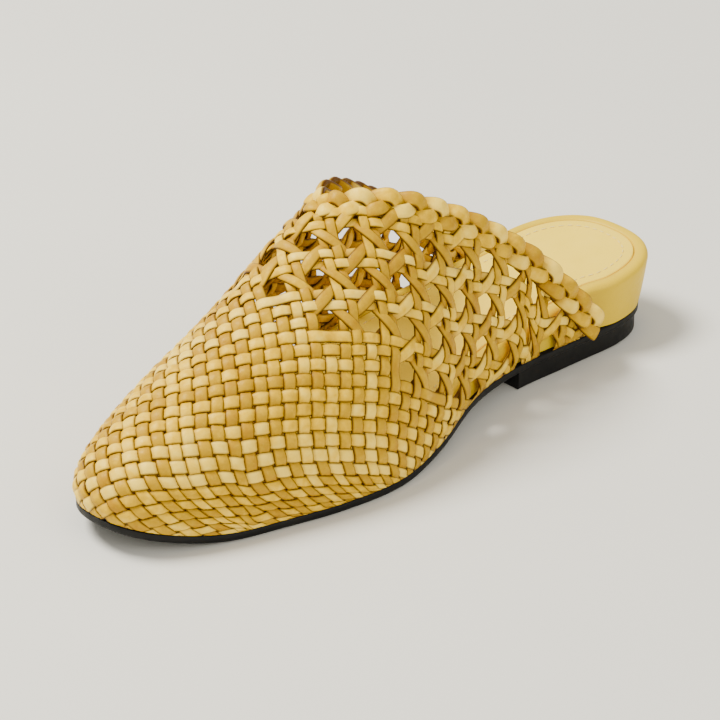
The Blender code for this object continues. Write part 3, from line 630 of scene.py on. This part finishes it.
# %% [markdown]
# ## Wefts and warps
#
# Strips along h are the wefts and strips along v the warps. Pairs run the whole way, and each draws a
# little closer together where it enters the cane. A middle strip runs only through plain cells, and where
# it meets the cane its end is tucked under the strand that lies over it, one of the pair there. The strips
# are cut from several hides, so each has its own tint, and the wefts are on the whole paler than the warps.

# %% Weave the two directions
LEVEL = 0.8 * MM
MIDDLE_LEVEL = -0.3 * MM
WIDTH_PLAIN, WIDTH_CANE = 0.318, 0.252
TUCK = 0.1
LINE_WANDER, WIDTH_WANDER, TINT_WANDER = (0.008, 10), (0.005, 12), (0.10, 14)
HIDES_WEFT, HIDES_WARP = (0.05, 0.3, 0.4, 0.8), (0.25, 0.65, 0.8, 0.9)


def run_of_cells(j, along_h):
    """Runs of plain cells along a middle strip's line, as (first, last + 1)."""
    plain = [((k, j) if along_h else (j, k)) not in OPEN for k in SPAN]
    return [(SPAN[0] + start, SPAN[0] + end) for start, end in runs_of(plain)]


def weave_strip(strips, j, place, along_h):
    """One strip: its events, its line, its width and its colour."""

    def over(i, other):
        if along_h:
            return weft_is_over(i, other, j, place)
        return not weft_is_over(j, place, i, other)

    def cell(i, k):
        return (i, k) if along_h else (k, i)

    spans = run_of_cells(j, along_h) if place == 0 else [[SPAN[0], SPAN[-1]]]
    base = random.choice(HIDES_WEFT if along_h else HIDES_WARP) + random.normal(0, 0.05)
    for first, last in spans:
        start, end = first, last
        if place == 0:
            start += pair_offset(*cell(first, j)) * (1 if over(first, -1) else -1) - TUCK
            end += pair_offset(*cell(last, j)) * (-1 if over(last, 1) else 1) + TUCK
        s = np.arange(start, end, STRIP_STEP)
        events = []
        for i in range(first, last + 1):
            offset = pair_offset(*cell(i, j))
            for other in (-1, 1):
                events.append((i + other * offset, LEVEL if over(i, other) else -LEVEL))
            near, far = (cell(i, j - 1), cell(i, j)) if place == -1 else (cell(i, j), cell(i, j - 1))
            free = place != 0 and near in OPEN and (far in OPEN or not over(i, 0))
            events.append((i + 0.5, 0.0 if free else LEVEL if over(i, 0) else -LEVEL))
        level = level_at(events, s) + MIDDLE_LEVEL
        nodes = np.arange(first, last + 2)
        share = np.interp(s, nodes, [cane_share(*cell(i, j)) for i in nodes])
        offset = 0.5 if place == 0 else place * spread(share)
        line = j + offset + wander(len(s), *LINE_WANDER)
        width = WIDTH_PLAIN + (WIDTH_CANE - WIDTH_PLAIN) * share
        width = width * (0.97 + 0.05 * np.clip(level / LEVEL, -1, 1)) + wander(len(s), *WIDTH_WANDER)
        tint = np.clip(base + wander(len(s), *TINT_WANDER), 0, 1)
        places = (s, line, 0, 1) if along_h else (line, s, 1, 0)
        strips.add(*places, level, width, tint)


wefts, warps = Strips(), Strips()
for j in SPAN:
    for place in (-1, 1, 0):
        weave_strip(wefts, j, place, True)
        weave_strip(warps, j, place, False)
wefts_piece = strips_piece("wefts", wefts)
warps_piece = strips_piece("warps", warps)

# %% [markdown]
# ## Diagonals of the cane
#
# Two sets of diagonals lock the pairs. Those that run up to the right pass over the warps and under the
# wefts, and the others the other way round, so every side of a hole has one leaf on top, the pair under it,
# and the second diagonal beneath. Each tapers where it dives, which gives the leaf shape.

# %% Thread the diagonals
LEAF_LEVEL = 1.05 * MM
LEAF_WIDTH, LEAF_NECK, LEAF_END = 0.28, 0.15, 0.34
diagonals = Strips()


def open_beside(i, j, on_warp):
    """Whether the cells on both sides of a pair's segment are open."""
    return ((i - 1, j) in OPEN and (i, j) in OPEN) if on_warp else ((i, j - 1) in OPEN and (i, j) in OPEN)


def thread(direction, c):
    """A diagonal v = c + 1/2 + direction * h, in each run of open cells."""
    stops = np.arange(2 * SPAN[0], 2 * SPAN[-1]) / 2
    held = []
    for h in stops:
        v = c + 0.5 + direction * h
        on_warp = h == int(h)
        held.append(open_beside(math.floor(h), math.floor(v), on_warp))
    for start, end in runs_of(held):
        run = stops[start:end]
        over_warps = direction > 0
        events = [(h, LEAF_LEVEL if (h == int(h)) == over_warps else -LEAF_LEVEL) for h in run]
        events = [(run[0] - 0.5, -LEAF_LEVEL)] + events + [(run[-1] + 0.5, -LEAF_LEVEL)]
        s = np.arange(run[0] - LEAF_END, run[-1] + LEAF_END, STRIP_STEP / math.sqrt(2))
        level = level_at(events, s)
        raised = np.clip(level / LEAF_LEVEL * 0.5 + 0.5, 0, 1)
        width = LEAF_NECK + (LEAF_WIDTH - LEAF_NECK) * raised**0.8
        tint = np.clip(random.choice(HIDES_WARP) + wander(len(s), 0.12, 12), 0, 1)
        root = math.sqrt(0.5)
        diagonals.add(s, c + 0.5 + direction * s, -direction * root, root, level + MIDDLE_LEVEL, width, tint)


for c in range(2 * SPAN[0], 2 * SPAN[-1]):
    thread(1, c)
    thread(-1, c)
diagonals_piece = strips_piece("diagonals", diagonals)

# %% [markdown]
# ## The plaited collar
#
# A thick plait finishes the top edge. It could be a tube with a bump map, but its lobes show against the
# light, so it is three real strands. In a plait each strand swings from side to side once a turn and in and
# out twice, and the three are a third of a turn apart.

# %% Follow the collar
BRAID_HALF_WIDTH, BRAID_HALF_THICKNESS = 5.4 * MM, 4.2 * MM
WALL = 1.8 * MM
SMOOTHING_ROUNDS = 60


def braid_line(step):
    """Distances along the plait, its centre line, and its directions away from the upper and outwards."""
    a, b = COLLAR[::-1].T
    line, normal = skin(a, b), outward(a, b)
    length = lengths_along(line)
    even = np.arange(0, length[-1], step)
    line = np.stack([np.interp(even, length, line[:, k]) for k in range(3)], -1)
    normal = np.stack([np.interp(even, length, normal[:, k]) for k in range(3)], -1)
    for _ in range(SMOOTHING_ROUNDS):
        line[1:-1] = (line[:-2] + 2 * line[1:-1] + line[2:]) / 4
        normal[1:-1] = (normal[:-2] + 2 * normal[1:-1] + normal[2:]) / 4
    tangent = unit(np.gradient(line, axis=0))
    away = unit(np.cross(normal, tangent))
    normal = np.cross(tangent, away)
    free = ease((line[:, 2] - SEAT_HEIGHT) / (0.5 * SEAT_HEIGHT))[:, None]
    proud = (1 - free) * (BRAID_HALF_THICKNESS - WALL) - free * WALL / 2
    reach = BRAID_HALF_WIDTH * np.sqrt(1 - (np.maximum(proud, 0) / BRAID_HALF_THICKNESS) ** 2)
    return even, line + away * (reach + FIT) + normal * proud, away, normal


BRAID_STEP = 0.9 * MM
distance, centre, away, normal = braid_line(BRAID_STEP)
print("plait length in mm:", round(distance[-1] / MM))

# %% [markdown]
# ## Three strands
#
# Each strand is a soft strip with a rounded section, wider where it lies on top of the plait. Its section
# turns with the strand, so the lobes slant as in the real thing.

# %% Plait the strands
PLAIT_TURN = 29 * MM
STRAND_SWING, STRAND_DEPTH = 2.9 * MM, 2.0 * MM
STRAND_WIDTH, STRAND_THICKNESS = 5.0 * MM, 2.6 * MM
STRAND_SIDES = 14
STRAND_TINTS = (0.1, 0.85, 0.5)
SWING_FLATNESS, SECTION_POWER = 1.4, 0.8


def strand(number):
    """Rings of one strand, its tint, and its places across and in depth for the material."""
    phase = 2 * math.pi * (distance / PLAIT_TURN + number / 3)
    side = STRAND_SWING * np.tanh(SWING_FLATNESS * np.sin(phase)) / math.tanh(SWING_FLATNESS)
    depth = -STRAND_DEPTH * np.sin(2 * phase)
    path = centre + away * side[:, None] + normal * depth[:, None]
    tangent = unit(np.gradient(path, axis=0))
    across = unit(np.cross(tangent, normal))
    up = np.cross(across, tangent)
    angle = np.arange(STRAND_SIDES) * 2 * math.pi / STRAND_SIDES
    cos, sin = np.cos(angle), np.sin(angle)
    round_x = np.sign(cos) * np.abs(cos) ** SECTION_POWER * STRAND_WIDTH / 2
    round_z = np.sign(sin) * np.abs(sin) ** SECTION_POWER * STRAND_THICKNESS / 2
    swell = (1 + 0.10 * depth / STRAND_DEPTH + wander(len(phase), 0.02, 8))[:, None, None]
    rings = path[:, None] + (across[:, None] * round_x[:, None] + up[:, None] * round_z[:, None]) * swell
    tint = np.clip(STRAND_TINTS[number] + wander(len(phase), 0.16, 10), 0, 1)
    # Depth for the painted shade where a strand dives under the others, turned over on the strand's inner
    # side
    outer_depth = depth[:, None] * np.where(sin < -0.3, -1, 1) / MM
    return rings, tint, np.tile(cos, (len(phase), 1)), outer_depth


floor_level = float(sole_top(COLLAR_END_AT) + FIT)
points, faces, values = [], [], {"tint": [], "across": [], "depth": []}
for number in range(3):
    rings, tint, across, depth = strand(number)
    above = np.flatnonzero(rings[..., 2].min(axis=1) > floor_level)
    first, last = above[0], above[-1] + 1
    sides = STRAND_SIDES
    faces += tube_faces(last - first, sides, sum(len(p) for p in points))
    points.append(rings[first:last].reshape(-1, 3))
    values["tint"].append(np.repeat(tint[first:last], sides))
    values["across"].append(across[first:last].ravel())
    values["depth"].append(depth[first:last].ravel())
    print("strand", number, "rings:", last - first)
points = np.concatenate(points)
braid = make_piece("plaited_collar", points, faces, "plaited_leather", "collar_braid", joined(values))

# %% [markdown]
# ## Sole, lift, wedge and sock
#
# These four are flat layers that follow the same outline, so each is a stack of closed rings: an inset from
# the outline and a height for every ring. More rings near an edge round it. The wedge's rim is rolled, and
# the sock sits in it with a fine groove round it.

# %% Stack rings
WEDGE_ROOM, WEDGE_DRAFT, HEEL_FLARE = 0.5 * MM, 0.7 * MM, 3.5 * MM
RIM_RADIUS, SOCK_INSET, SOCK_THICKNESS, LIFT_INSET = 2.5 * MM, 5.0 * MM, 1.5 * MM, 1.2 * MM
RING_STATIONS, LIFT_STATIONS = 110, 50
END_GAP, END_FADE = 0.015, 0.05


def stations(count, start=0.0):
    """Shares of the length, closer together where the outline turns."""
    s = np.linspace(0, 1, count)
    return start + (1 - start) * np.sin(math.pi / 2 * s) if start > 0 else (1 - np.cos(math.pi * s)) / 2


def ring(t, inset, height):
    """A closed ring down the medial side, round the heel and back up the lateral side."""
    medial, lateral = [np.stack([side * half_width(t, side), along(t)], -1) for side in (1, -1)]
    open_toe = t[0] > 0
    stop = None if open_toe else -1
    loop = np.concatenate([medial, lateral[::-1][1:stop]])
    shares = np.concatenate([t, t[::-1][1:stop]])
    ahead, behind = np.roll(loop, -1, axis=0) - loop, loop - np.roll(loop, 1, axis=0)
    if open_toe:
        behind[0], ahead[-1] = ahead[0], behind[-1]
    tangent = unit(unit(ahead) + unit(behind))
    loop = loop + np.stack([-tangent[:, 1], tangent[:, 0]], -1) * inset(shares)[:, None]
    return np.column_stack([loop, height(np.clip(loop[:, 1] / LENGTH + 0.5, 0, 1))])


def stack(rings, open_toe=False):
    """Rings of equal count, bottom first, closed below and above by strips between the two sides."""
    count = len(rings[0])
    faces = wall_faces(len(rings), count).tolist()
    top = (len(rings) - 1) * count
    pairs = [(k, count - 1 - k if open_toe else (count - k) % count) for k in range(count // 2 + 1)]
    for (a, b), (c, d) in zip(pairs, pairs[1:]):
        corners = list(dict.fromkeys((a, c, d, b)))
        if len(corners) > 2:
            faces.append(corners[::-1])
            faces.append([corner + top for corner in corners])
    return np.concatenate(rings), faces


def covered(t):
    """1 where the upper wraps the wedge, falling to 0 behind its ends."""
    return 1 - ease((t - COLLAR_END_AT - END_GAP) / END_FADE)


def wedge_inset(level, extra=0.0):
    """Inset of the wedge's outline, level 0 at its foot and 1 at its rim."""

    def inset(t):
        flare = HEEL_FLARE * level * ease((t - COLLAR_END_AT - END_GAP) / (1 - COLLAR_END_AT))
        room = (WALL + WEDGE_ROOM + WEDGE_DRAFT * level) * covered(t)
        return room + (1 - covered(t)) * SOLE_INSET - flare + extra

    return inset


print("stations on each side:", RING_STATIONS)

# %% Make the four layers
SOLE_BEVEL, SOLE_EDGE, LIFT_BEVEL = 0.8 * MM, 0.25 * MM, 0.5 * MM
GROOVE_BEVEL, SOCK_BEVEL, SOCK_EDGE = 0.5 * MM, 0.15 * MM, 0.6 * MM
SIDE_STEPS, RIM_STEPS = 4, 6


def sole_inset(extra):
    return lambda t: SOLE_INSET + extra + 0 * t


def lift_inset(extra):
    return sole_inset(LIFT_INSET + extra)


def rim_inset(extra):
    return wedge_inset(1, extra)


def wedge_side(share):
    """Heights at a share of the way from the sole up to the rim."""
    return lambda t: sole_top(t) + FIT + (wedge_top(t) - RIM_RADIUS - sole_top(t) - FIT) * share


def layer(t, inset_by, surface, steps):
    """One ring for each step, given as (further inset, rise over the surface)."""
    return [ring(t, inset_by(extra), lambda s, rise=rise: surface(s) + rise) for extra, rise in steps]


t = stations(RING_STATIONS)
rounded = [(SOLE_BEVEL, 0), (0.3 * SOLE_BEVEL, 0.3 * SOLE_BEVEL), (0, SOLE_BEVEL)]
rings = layer(t, sole_inset, sole_bottom, rounded)
rings += layer(t, sole_inset, sole_top, [(0, -SOLE_EDGE), (SOLE_EDGE, 0)])
outsole = make_piece("rubber_sole", *stack(rings), "black_rubber", "outsole", crease=50)

steps = [(LIFT_BEVEL, 0), (0, LIFT_BEVEL), (0, HEEL_LIFT - FIT)]
rings = layer(stations(LIFT_STATIONS, BREAST_AT), lift_inset, lambda s: 0 * s, steps)
lift = make_piece("rubber_lift", *stack(rings, True), "black_rubber", "heel_lift", crease=40)

shares = np.linspace(0, 1, SIDE_STEPS + 1)
rings = [ring(t, wedge_inset(share**0.8), wedge_side(share)) for share in shares]
turns = SQUARE * np.arange(1, RIM_STEPS + 1) / RIM_STEPS
rolled = [(RIM_RADIUS * (1 - math.cos(turn)), RIM_RADIUS * (math.sin(turn) - 1)) for turn in turns]
groove = [(-GROOVE_BEVEL, 0), (0, -GROOVE_BEVEL), (0, -SOCK_THICKNESS - FIT)]
rings += layer(t, rim_inset, wedge_top, rolled + [(SOCK_INSET + extra, rise) for extra, rise in groove])
wedge = make_piece("covered_wedge", *stack(rings), "footbed_leather", "footbed_wedge", crease=60)

edge = [(0, -SOCK_THICKNESS), (0, -GROOVE_BEVEL), (SOCK_BEVEL, -SOCK_BEVEL), (SOCK_EDGE, 0)]
rings = layer(t, rim_inset, wedge_top, [(SOCK_INSET + FIT + extra, rise) for extra, rise in edge])
sock = make_piece("leather_sock", *stack(rings), "sock_leather", "insole", crease=60)

# %% [markdown]
# ## Stitches
#
# A line of small stitches runs round the sock a few millimetres in from its edge. A bump map would lose
# them at this size, so each is a short capsule half sunk in the leather. They are one mesh, because they
# are one thread.

# %% Sew round the sock
STITCH_IN, STITCH_PITCH, STITCH_LENGTH, THREAD = 4.2 * MM, 3.3 * MM, 2.1 * MM, 0.55 * MM
ALONG_STITCH = np.array([-0.5, -0.42, -0.2, 0.2, 0.42, 0.5])
STITCH_RADII = np.array([0.15, 0.7, 1, 1, 0.7, 0.15]) * THREAD / 2
STITCH_SIDES, STITCH_RISE = 6, 0.08 * MM
line = ring(stations(400), wedge_inset(1, SOCK_INSET + STITCH_IN), wedge_top)
line = line[np.linalg.norm(np.diff(line, axis=0, append=line[:1]), axis=1) > 1e-7]
loop = np.concatenate([line, line[:1]])
length = lengths_along(loop)
count = round(length[-1] / STITCH_PITCH)
points, faces = [], []
for k in range(count):
    middle = (k + 0.5) * length[-1] / count
    spots = (middle + STITCH_LENGTH * ALONG_STITCH) % length[-1]
    path = np.stack([np.interp(spots, length, loop[:, axis]) for axis in range(3)], -1)
    forward = unit(path[-1] - path[0])
    side = unit(np.cross(forward, (0, 0, 1.0)))
    angle = np.arange(STITCH_SIDES)[:, None] * 2 * math.pi / STITCH_SIDES
    spokes = np.cos(angle) * side + np.sin(angle) * np.cross(side, forward)
    rings = path[:, None] + spokes * STITCH_RADII[:, None, None]
    rings[..., 2] += STITCH_RISE
    faces += tube_faces(len(path), STITCH_SIDES, len(path) * STITCH_SIDES * k)
    points.append(rings.reshape(-1, 3))
stitches = make_piece("stitches", np.concatenate(points), faces, "sock_leather")
print("stitches:", count)

# %% [markdown]
# ## Leather
#
# All the leather is one recipe with different sizes. A strip's own colour comes from the tint that was
# written on its vertices, between pale tan and deep yellow, and noise breaks it up; pale mottles mixed in
# are a painted highlight. Edges and the places where a strip dives under its neighbour get painted shade,
# a brown darkening for the shadow in the gaps and under the crossing strip. Two scales of noise give the
# bump: fine grain and soft creases. Noise also varies the roughness, so that the highlights break.

# %% Leather recipe
def new_material(name):
    material = bpy.data.materials.new(name)
    material.use_nodes = True
    tree = material.node_tree
    return material, tree, tree.nodes["Principled BSDF"]


def fill(tree, made, inputs):
    """Link sockets to a node's inputs, and write plain values into them."""
    for key, value in inputs.items():
        if hasattr(value, "is_output"):
            tree.links.new(value, made.inputs[key])
        else:
            made.inputs[key].default_value = value
    return made


def node(tree, kind, inputs=(), **settings):
    made = tree.nodes.new(kind)
    for key, value in settings.items():
        setattr(made, key, value)
    return fill(tree, made, dict(inputs))


def on_object(tree):
    return node(tree, "ShaderNodeTexCoord").outputs["Object"]


def noise(tree, scale, detail=3.0, roughness=0.55):
    inputs = {"Vector": on_object(tree), "Scale": scale, "Detail": detail, "Roughness": roughness}
    return node(tree, "ShaderNodeTexNoise", inputs).outputs["Fac"]


def remap(tree, value, low, high, to_low, to_high):
    inputs = {"Value": value, "From Min": low, "From Max": high, "To Min": to_low, "To Max": to_high}
    return node(tree, "ShaderNodeMapRange", inputs).outputs["Result"]


def mix(tree, share, first, second, blend="MIX"):
    made = node(tree, "ShaderNodeMix", data_type="RGBA", blend_type=blend)
    return fill(tree, made, {0: share, 6: first, 7: second}).outputs[2]


def math_node(tree, operation, *values):
    return node(tree, "ShaderNodeMath", dict(enumerate(values)), operation=operation).outputs[0]


def bumps(tree, layers):
    """A chain of bumps, each given as (height, strength, depth in metres)."""
    normal = None
    for height, strength, depth in layers:
        inputs = {"Height": height, "Strength": strength, "Distance": depth}
        if normal is not None:
            inputs["Normal"] = normal
        normal = node(tree, "ShaderNodeBump", inputs).outputs["Normal"]
    return normal


TAN = (0.84, 0.50, 0.0, 1)
PALE = (1.0, 0.69, 0.08, 1)
YELLOW = (0.54, 0.303, 0.0, 1)
# Deep yellow: a real tone of some strips, and also the first step of the painted shade where a strip dives
DEEP_TONE_AND_SHADE = (0.42, 0.19, 0.0, 1)
# Near black brown: painted shade at strip edges and dives, and real dark flecks on the smooth leather
SHADE_AND_FLECK_BROWN = (0.07, 0.020, 0.0, 1)


def written(tree, name):
    """A value that was written on the vertices."""
    return node(tree, "ShaderNodeAttribute", attribute_name=name).outputs["Fac"]


def strip_leather(name, edge_shade_from, shade_depths):
    """Leather for a strip, with painted shade at its edges and where its level falls through the given
    depths.
    """
    material, tree, shader = new_material(name)
    tint, across, depth = (written(tree, key) for key in ("tint", "across", "depth"))
    cloud = remap(tree, noise(tree, 260, 2), 0.3, 0.7, -0.18, 0.18)
    shade = math_node(tree, "ADD", tint, cloud)
    colour = mix(tree, remap(tree, shade, 0.0, 0.4, 0, 1), PALE, TAN)
    colour = mix(tree, remap(tree, shade, 0.35, 0.72, 0, 1), colour, YELLOW)
    colour = mix(tree, remap(tree, shade, 0.8, 1.1, 0, 0.7), colour, DEEP_TONE_AND_SHADE)
    # Painted highlight: pale mottles from noise, mixed toward the palest leather
    mottled_highlight = remap(tree, noise(tree, 900, 4), 0.56, 0.75, 0, 0.15)
    colour = mix(tree, mottled_highlight, colour, PALE)
    # Painted shade: darker, then near black brown, where the strip's written depth shows it diving under its
    # neighbour
    colour = mix(tree, remap(tree, depth, shade_depths[0], shade_depths[1], 0.9, 0), colour, DEEP_TONE_AND_SHADE)
    colour = mix(tree, remap(tree, depth, shade_depths[0] - 0.2, shade_depths[0] + 0.25, 0.8, 0), colour, SHADE_AND_FLECK_BROWN)
    # Painted shade: the strip darkens toward its edges, for the shadow in the gaps between strips
    edge = remap(tree, math_node(tree, "ABSOLUTE", across), edge_shade_from, 0.97, 0, 1)
    crease, grain = noise(tree, 700, 2), noise(tree, 3800, 3)
    looks = {"Base Color": mix(tree, edge, colour, SHADE_AND_FLECK_BROWN)}
    looks["Roughness"] = remap(tree, noise(tree, 1400, 3), 0.3, 0.7, 0.36, 0.52)
    looks["Normal"] = bumps(tree, [(crease, 0.35, 0.4 * MM), (grain, 0.22, 0.12 * MM)])
    looks |= {"Specular IOR Level": 0.3, "Specular Tint": (1.0, 0.78, 0.35, 1)}
    fill(tree, shader, looks)
    return material


# Both strip materials paint shade at edges and dives, and paint pale mottled highlights
WOVEN = strip_leather("woven_leather_painted_light", 0.66, (-0.9, 0.1))
PLAITED = strip_leather("plaited_leather_painted_light", 0.74, (-1.2, 0.8))
for piece in (wefts_piece, warps_piece, diagonals_piece):
    piece.data.materials.append(WOVEN)
braid.data.materials.append(PLAITED)
print("strip materials:", WOVEN.name, PLAITED.name)

# %% [markdown]
# ## Smooth leather, rubber and thread
#
# The wedge and the sock are covered in smooth leather, the sock a little paler. The sole is black rubber
# with a dull skin and some dust. The thread is pale and matt.

# %% Smooth leather, rubber and thread
WEDGE_COLOURS = (0.76, 0.51, 0.0, 1), (0.70, 0.46, 0.0, 1)
SOCK_COLOURS = (0.99, 0.70, 0.05, 1), (0.93, 0.65, 0.03, 1)
RUBBER_COLOURS = (0.003, 0.003, 0.003, 1), (0.012, 0.012, 0.010, 1)
THREAD_COLOURS = (0.80, 0.60, 0.12, 1), (0.95, 0.78, 0.26, 1)


def smooth_leather(name, colours, roughness):
    material, tree, shader = new_material(name)
    cloud = remap(tree, noise(tree, 45, 3), 0.35, 0.68, 0, 1)
    fleck = remap(tree, noise(tree, 2200, 2), 0.6, 0.72, 0, 0.12)
    pores = {"Vector": on_object(tree), "Scale": 1500.0}
    pores = node(tree, "ShaderNodeTexVoronoi", pores, feature="DISTANCE_TO_EDGE").outputs["Distance"]
    layers = [(noise(tree, 120, 2), 0.25, 0.5 * MM), (remap(tree, pores, 0, 0.12, 0, 1), 0.12, 0.08 * MM)]
    looks = {"Base Color": mix(tree, fleck, mix(tree, cloud, *colours), SHADE_AND_FLECK_BROWN), "Normal": bumps(tree, layers)}
    looks["Roughness"] = remap(tree, noise(tree, 600, 3), 0.3, 0.7, roughness - 0.06, roughness + 0.08)
    looks |= {"Specular IOR Level": 0.35, "Specular Tint": (1.0, 0.88, 0.6, 1)}
    fill(tree, shader, looks)
    return material


def rubber(name):
    material, tree, shader = new_material(name)
    dust = remap(tree, noise(tree, 90, 5, 0.7), 0.45, 0.75, 0, 0.35)
    looks = {"Base Color": mix(tree, dust, *RUBBER_COLOURS), "Specular IOR Level": 0.2}
    looks["Roughness"] = remap(tree, noise(tree, 400, 3), 0.3, 0.7, 0.42, 0.6)
    looks["Normal"] = bumps(tree, [(noise(tree, 1800, 3), 0.2, 0.1 * MM)])
    fill(tree, shader, looks)
    return material


def thread_material(name):
    material, tree, shader = new_material(name)
    twist = {"Vector": on_object(tree), "Scale": 900.0, "Distortion": 1.0}
    twist = node(tree, "ShaderNodeTexWave", twist).outputs["Fac"]
    looks = {"Base Color": mix(tree, twist, *THREAD_COLOURS), "Roughness": 0.7}
    looks["Normal"] = bumps(tree, [(twist, 0.4, 0.1 * MM)])
    fill(tree, shader, looks)
    return material


wedge.data.materials.append(smooth_leather("wedge_leather_finish", WEDGE_COLOURS, 0.46))
sock.data.materials.append(smooth_leather("sock_leather_finish", SOCK_COLOURS, 0.5))
black = rubber("rubber_finish")
for piece in (outsole, lift):
    piece.data.materials.append(black)
stitches.data.materials.append(thread_material("thread_finish"))
print("materials:", [material.name for material in bpy.data.materials])

# %% [markdown]
# ## Floor, light and camera
#
# The photograph has a pale grey floor that runs into the background, a large soft light from the upper left
# and a shadow that falls to the lower right. The camera looks down at 29 degrees from in front of the
# medial side. It stands where the photograph's did, so the perspective is the same, and a long lens frames
# the shoe.

# %% Floor and background
FLOOR_GREY, FLOOR_SIZE, FLOOR_DROP = (0.75, 0.73, 0.645, 1), 6.0, 0.2 * MM
SKY, SKY_STRENGTH = (1.0, 0.985, 0.95, 1), 0.78


def make_floor():
    bpy.ops.mesh.primitive_plane_add(size=FLOOR_SIZE, location=(0, 0, -FLOOR_DROP))
    floor = bpy.context.object
    floor.name = "floor"
    material, tree, shader = new_material("floor_finish")
    shade = remap(tree, noise(tree, 6, 2), 0.3, 0.7, 0.985, 1.015)
    fill(tree, shader, {"Base Color": mix(tree, 1, FLOOR_GREY, shade, "MULTIPLY"), "Roughness": 0.8})
    floor.data.materials.append(material)


make_floor()
world = bpy.data.worlds.new("studio")
bpy.context.scene.world = world
world.use_nodes = True
fill(world.node_tree, world.node_tree.nodes["Background"], {"Color": SKY, "Strength": SKY_STRENGTH})
print("floor across in metres:", FLOOR_SIZE)

# %% Lights
TARGET = np.array([0, 0, 35 * MM]) + SHIFT
AZIMUTH, ELEVATION = math.radians(46.85), math.radians(28.57)
FRONT = np.array([math.sin(AZIMUTH), -math.cos(AZIMUTH), 0])
RIGHT = np.array([math.cos(AZIMUTH), math.sin(AZIMUTH), 0])
UP = np.array([0, 0, 1.0])
BACK = FRONT * math.cos(ELEVATION) + UP * math.sin(ELEVATION)
WARM_WHITE = (1, 0.975, 0.93)


def soft_light(name, right, front, up, size, power):
    """A round lamp at a place seen from the camera, turned to the shoe."""
    light = bpy.data.lights.new(name, "AREA")
    light.shape, light.size, light.energy, light.color = "DISK", size, power, WARM_WHITE
    lamp = bpy.data.objects.new(name, light)
    lamp.location = Vector(TARGET + RIGHT * right + FRONT * front + UP * up)
    lamp.rotation_euler = (Vector(TARGET) - lamp.location).to_track_quat("-Z", "Y").to_euler()
    bpy.context.scene.collection.objects.link(lamp)
    print(name, "light at:", [round(v, 2) for v in lamp.location])


soft_light("key", -0.9, -0.2, 1.5, size=0.75, power=60)
soft_light("fill", 0.8, 1.2, 0.9, size=1.2, power=11)

# %% Camera
CAMERA_DISTANCE, SENSOR, FRAME_SHARE = 1.4, 36, 0.80
camera_data = bpy.data.cameras.new("camera")
camera = bpy.data.objects.new("camera", camera_data)
bpy.context.scene.collection.objects.link(camera)
bpy.context.scene.camera = camera
camera.location = Vector(TARGET + BACK * CAMERA_DISTANCE)
camera.rotation_mode = "QUATERNION"
camera.rotation_quaternion = Vector(-BACK).to_track_quat("-Z", "Y")
camera_data.sensor_width = SENSOR
camera_data.clip_start, camera_data.clip_end = 0.05, 20

up_view = np.cross(BACK, RIGHT)
framed = (wefts_piece, braid, wedge, outsole, lift)
spots = np.concatenate([[v.co[:] for v in piece.data.vertices] for piece in framed])
offset = spots - (TARGET + BACK * CAMERA_DISTANCE)
depth = -(offset @ BACK)
screen = np.stack([offset @ RIGHT / depth, offset @ up_view / depth], -1)
wide = (screen.max(axis=0) - screen.min(axis=0)).max()
middle = (screen.max(axis=0) + screen.min(axis=0)) / 2
camera_data.lens = SENSOR * FRAME_SHARE / wide
camera_data.shift_x, camera_data.shift_y = middle * FRAME_SHARE / wide
print("lens in mm:", round(camera_data.lens, 1), "shift:", np.round(middle * FRAME_SHARE / wide, 3))
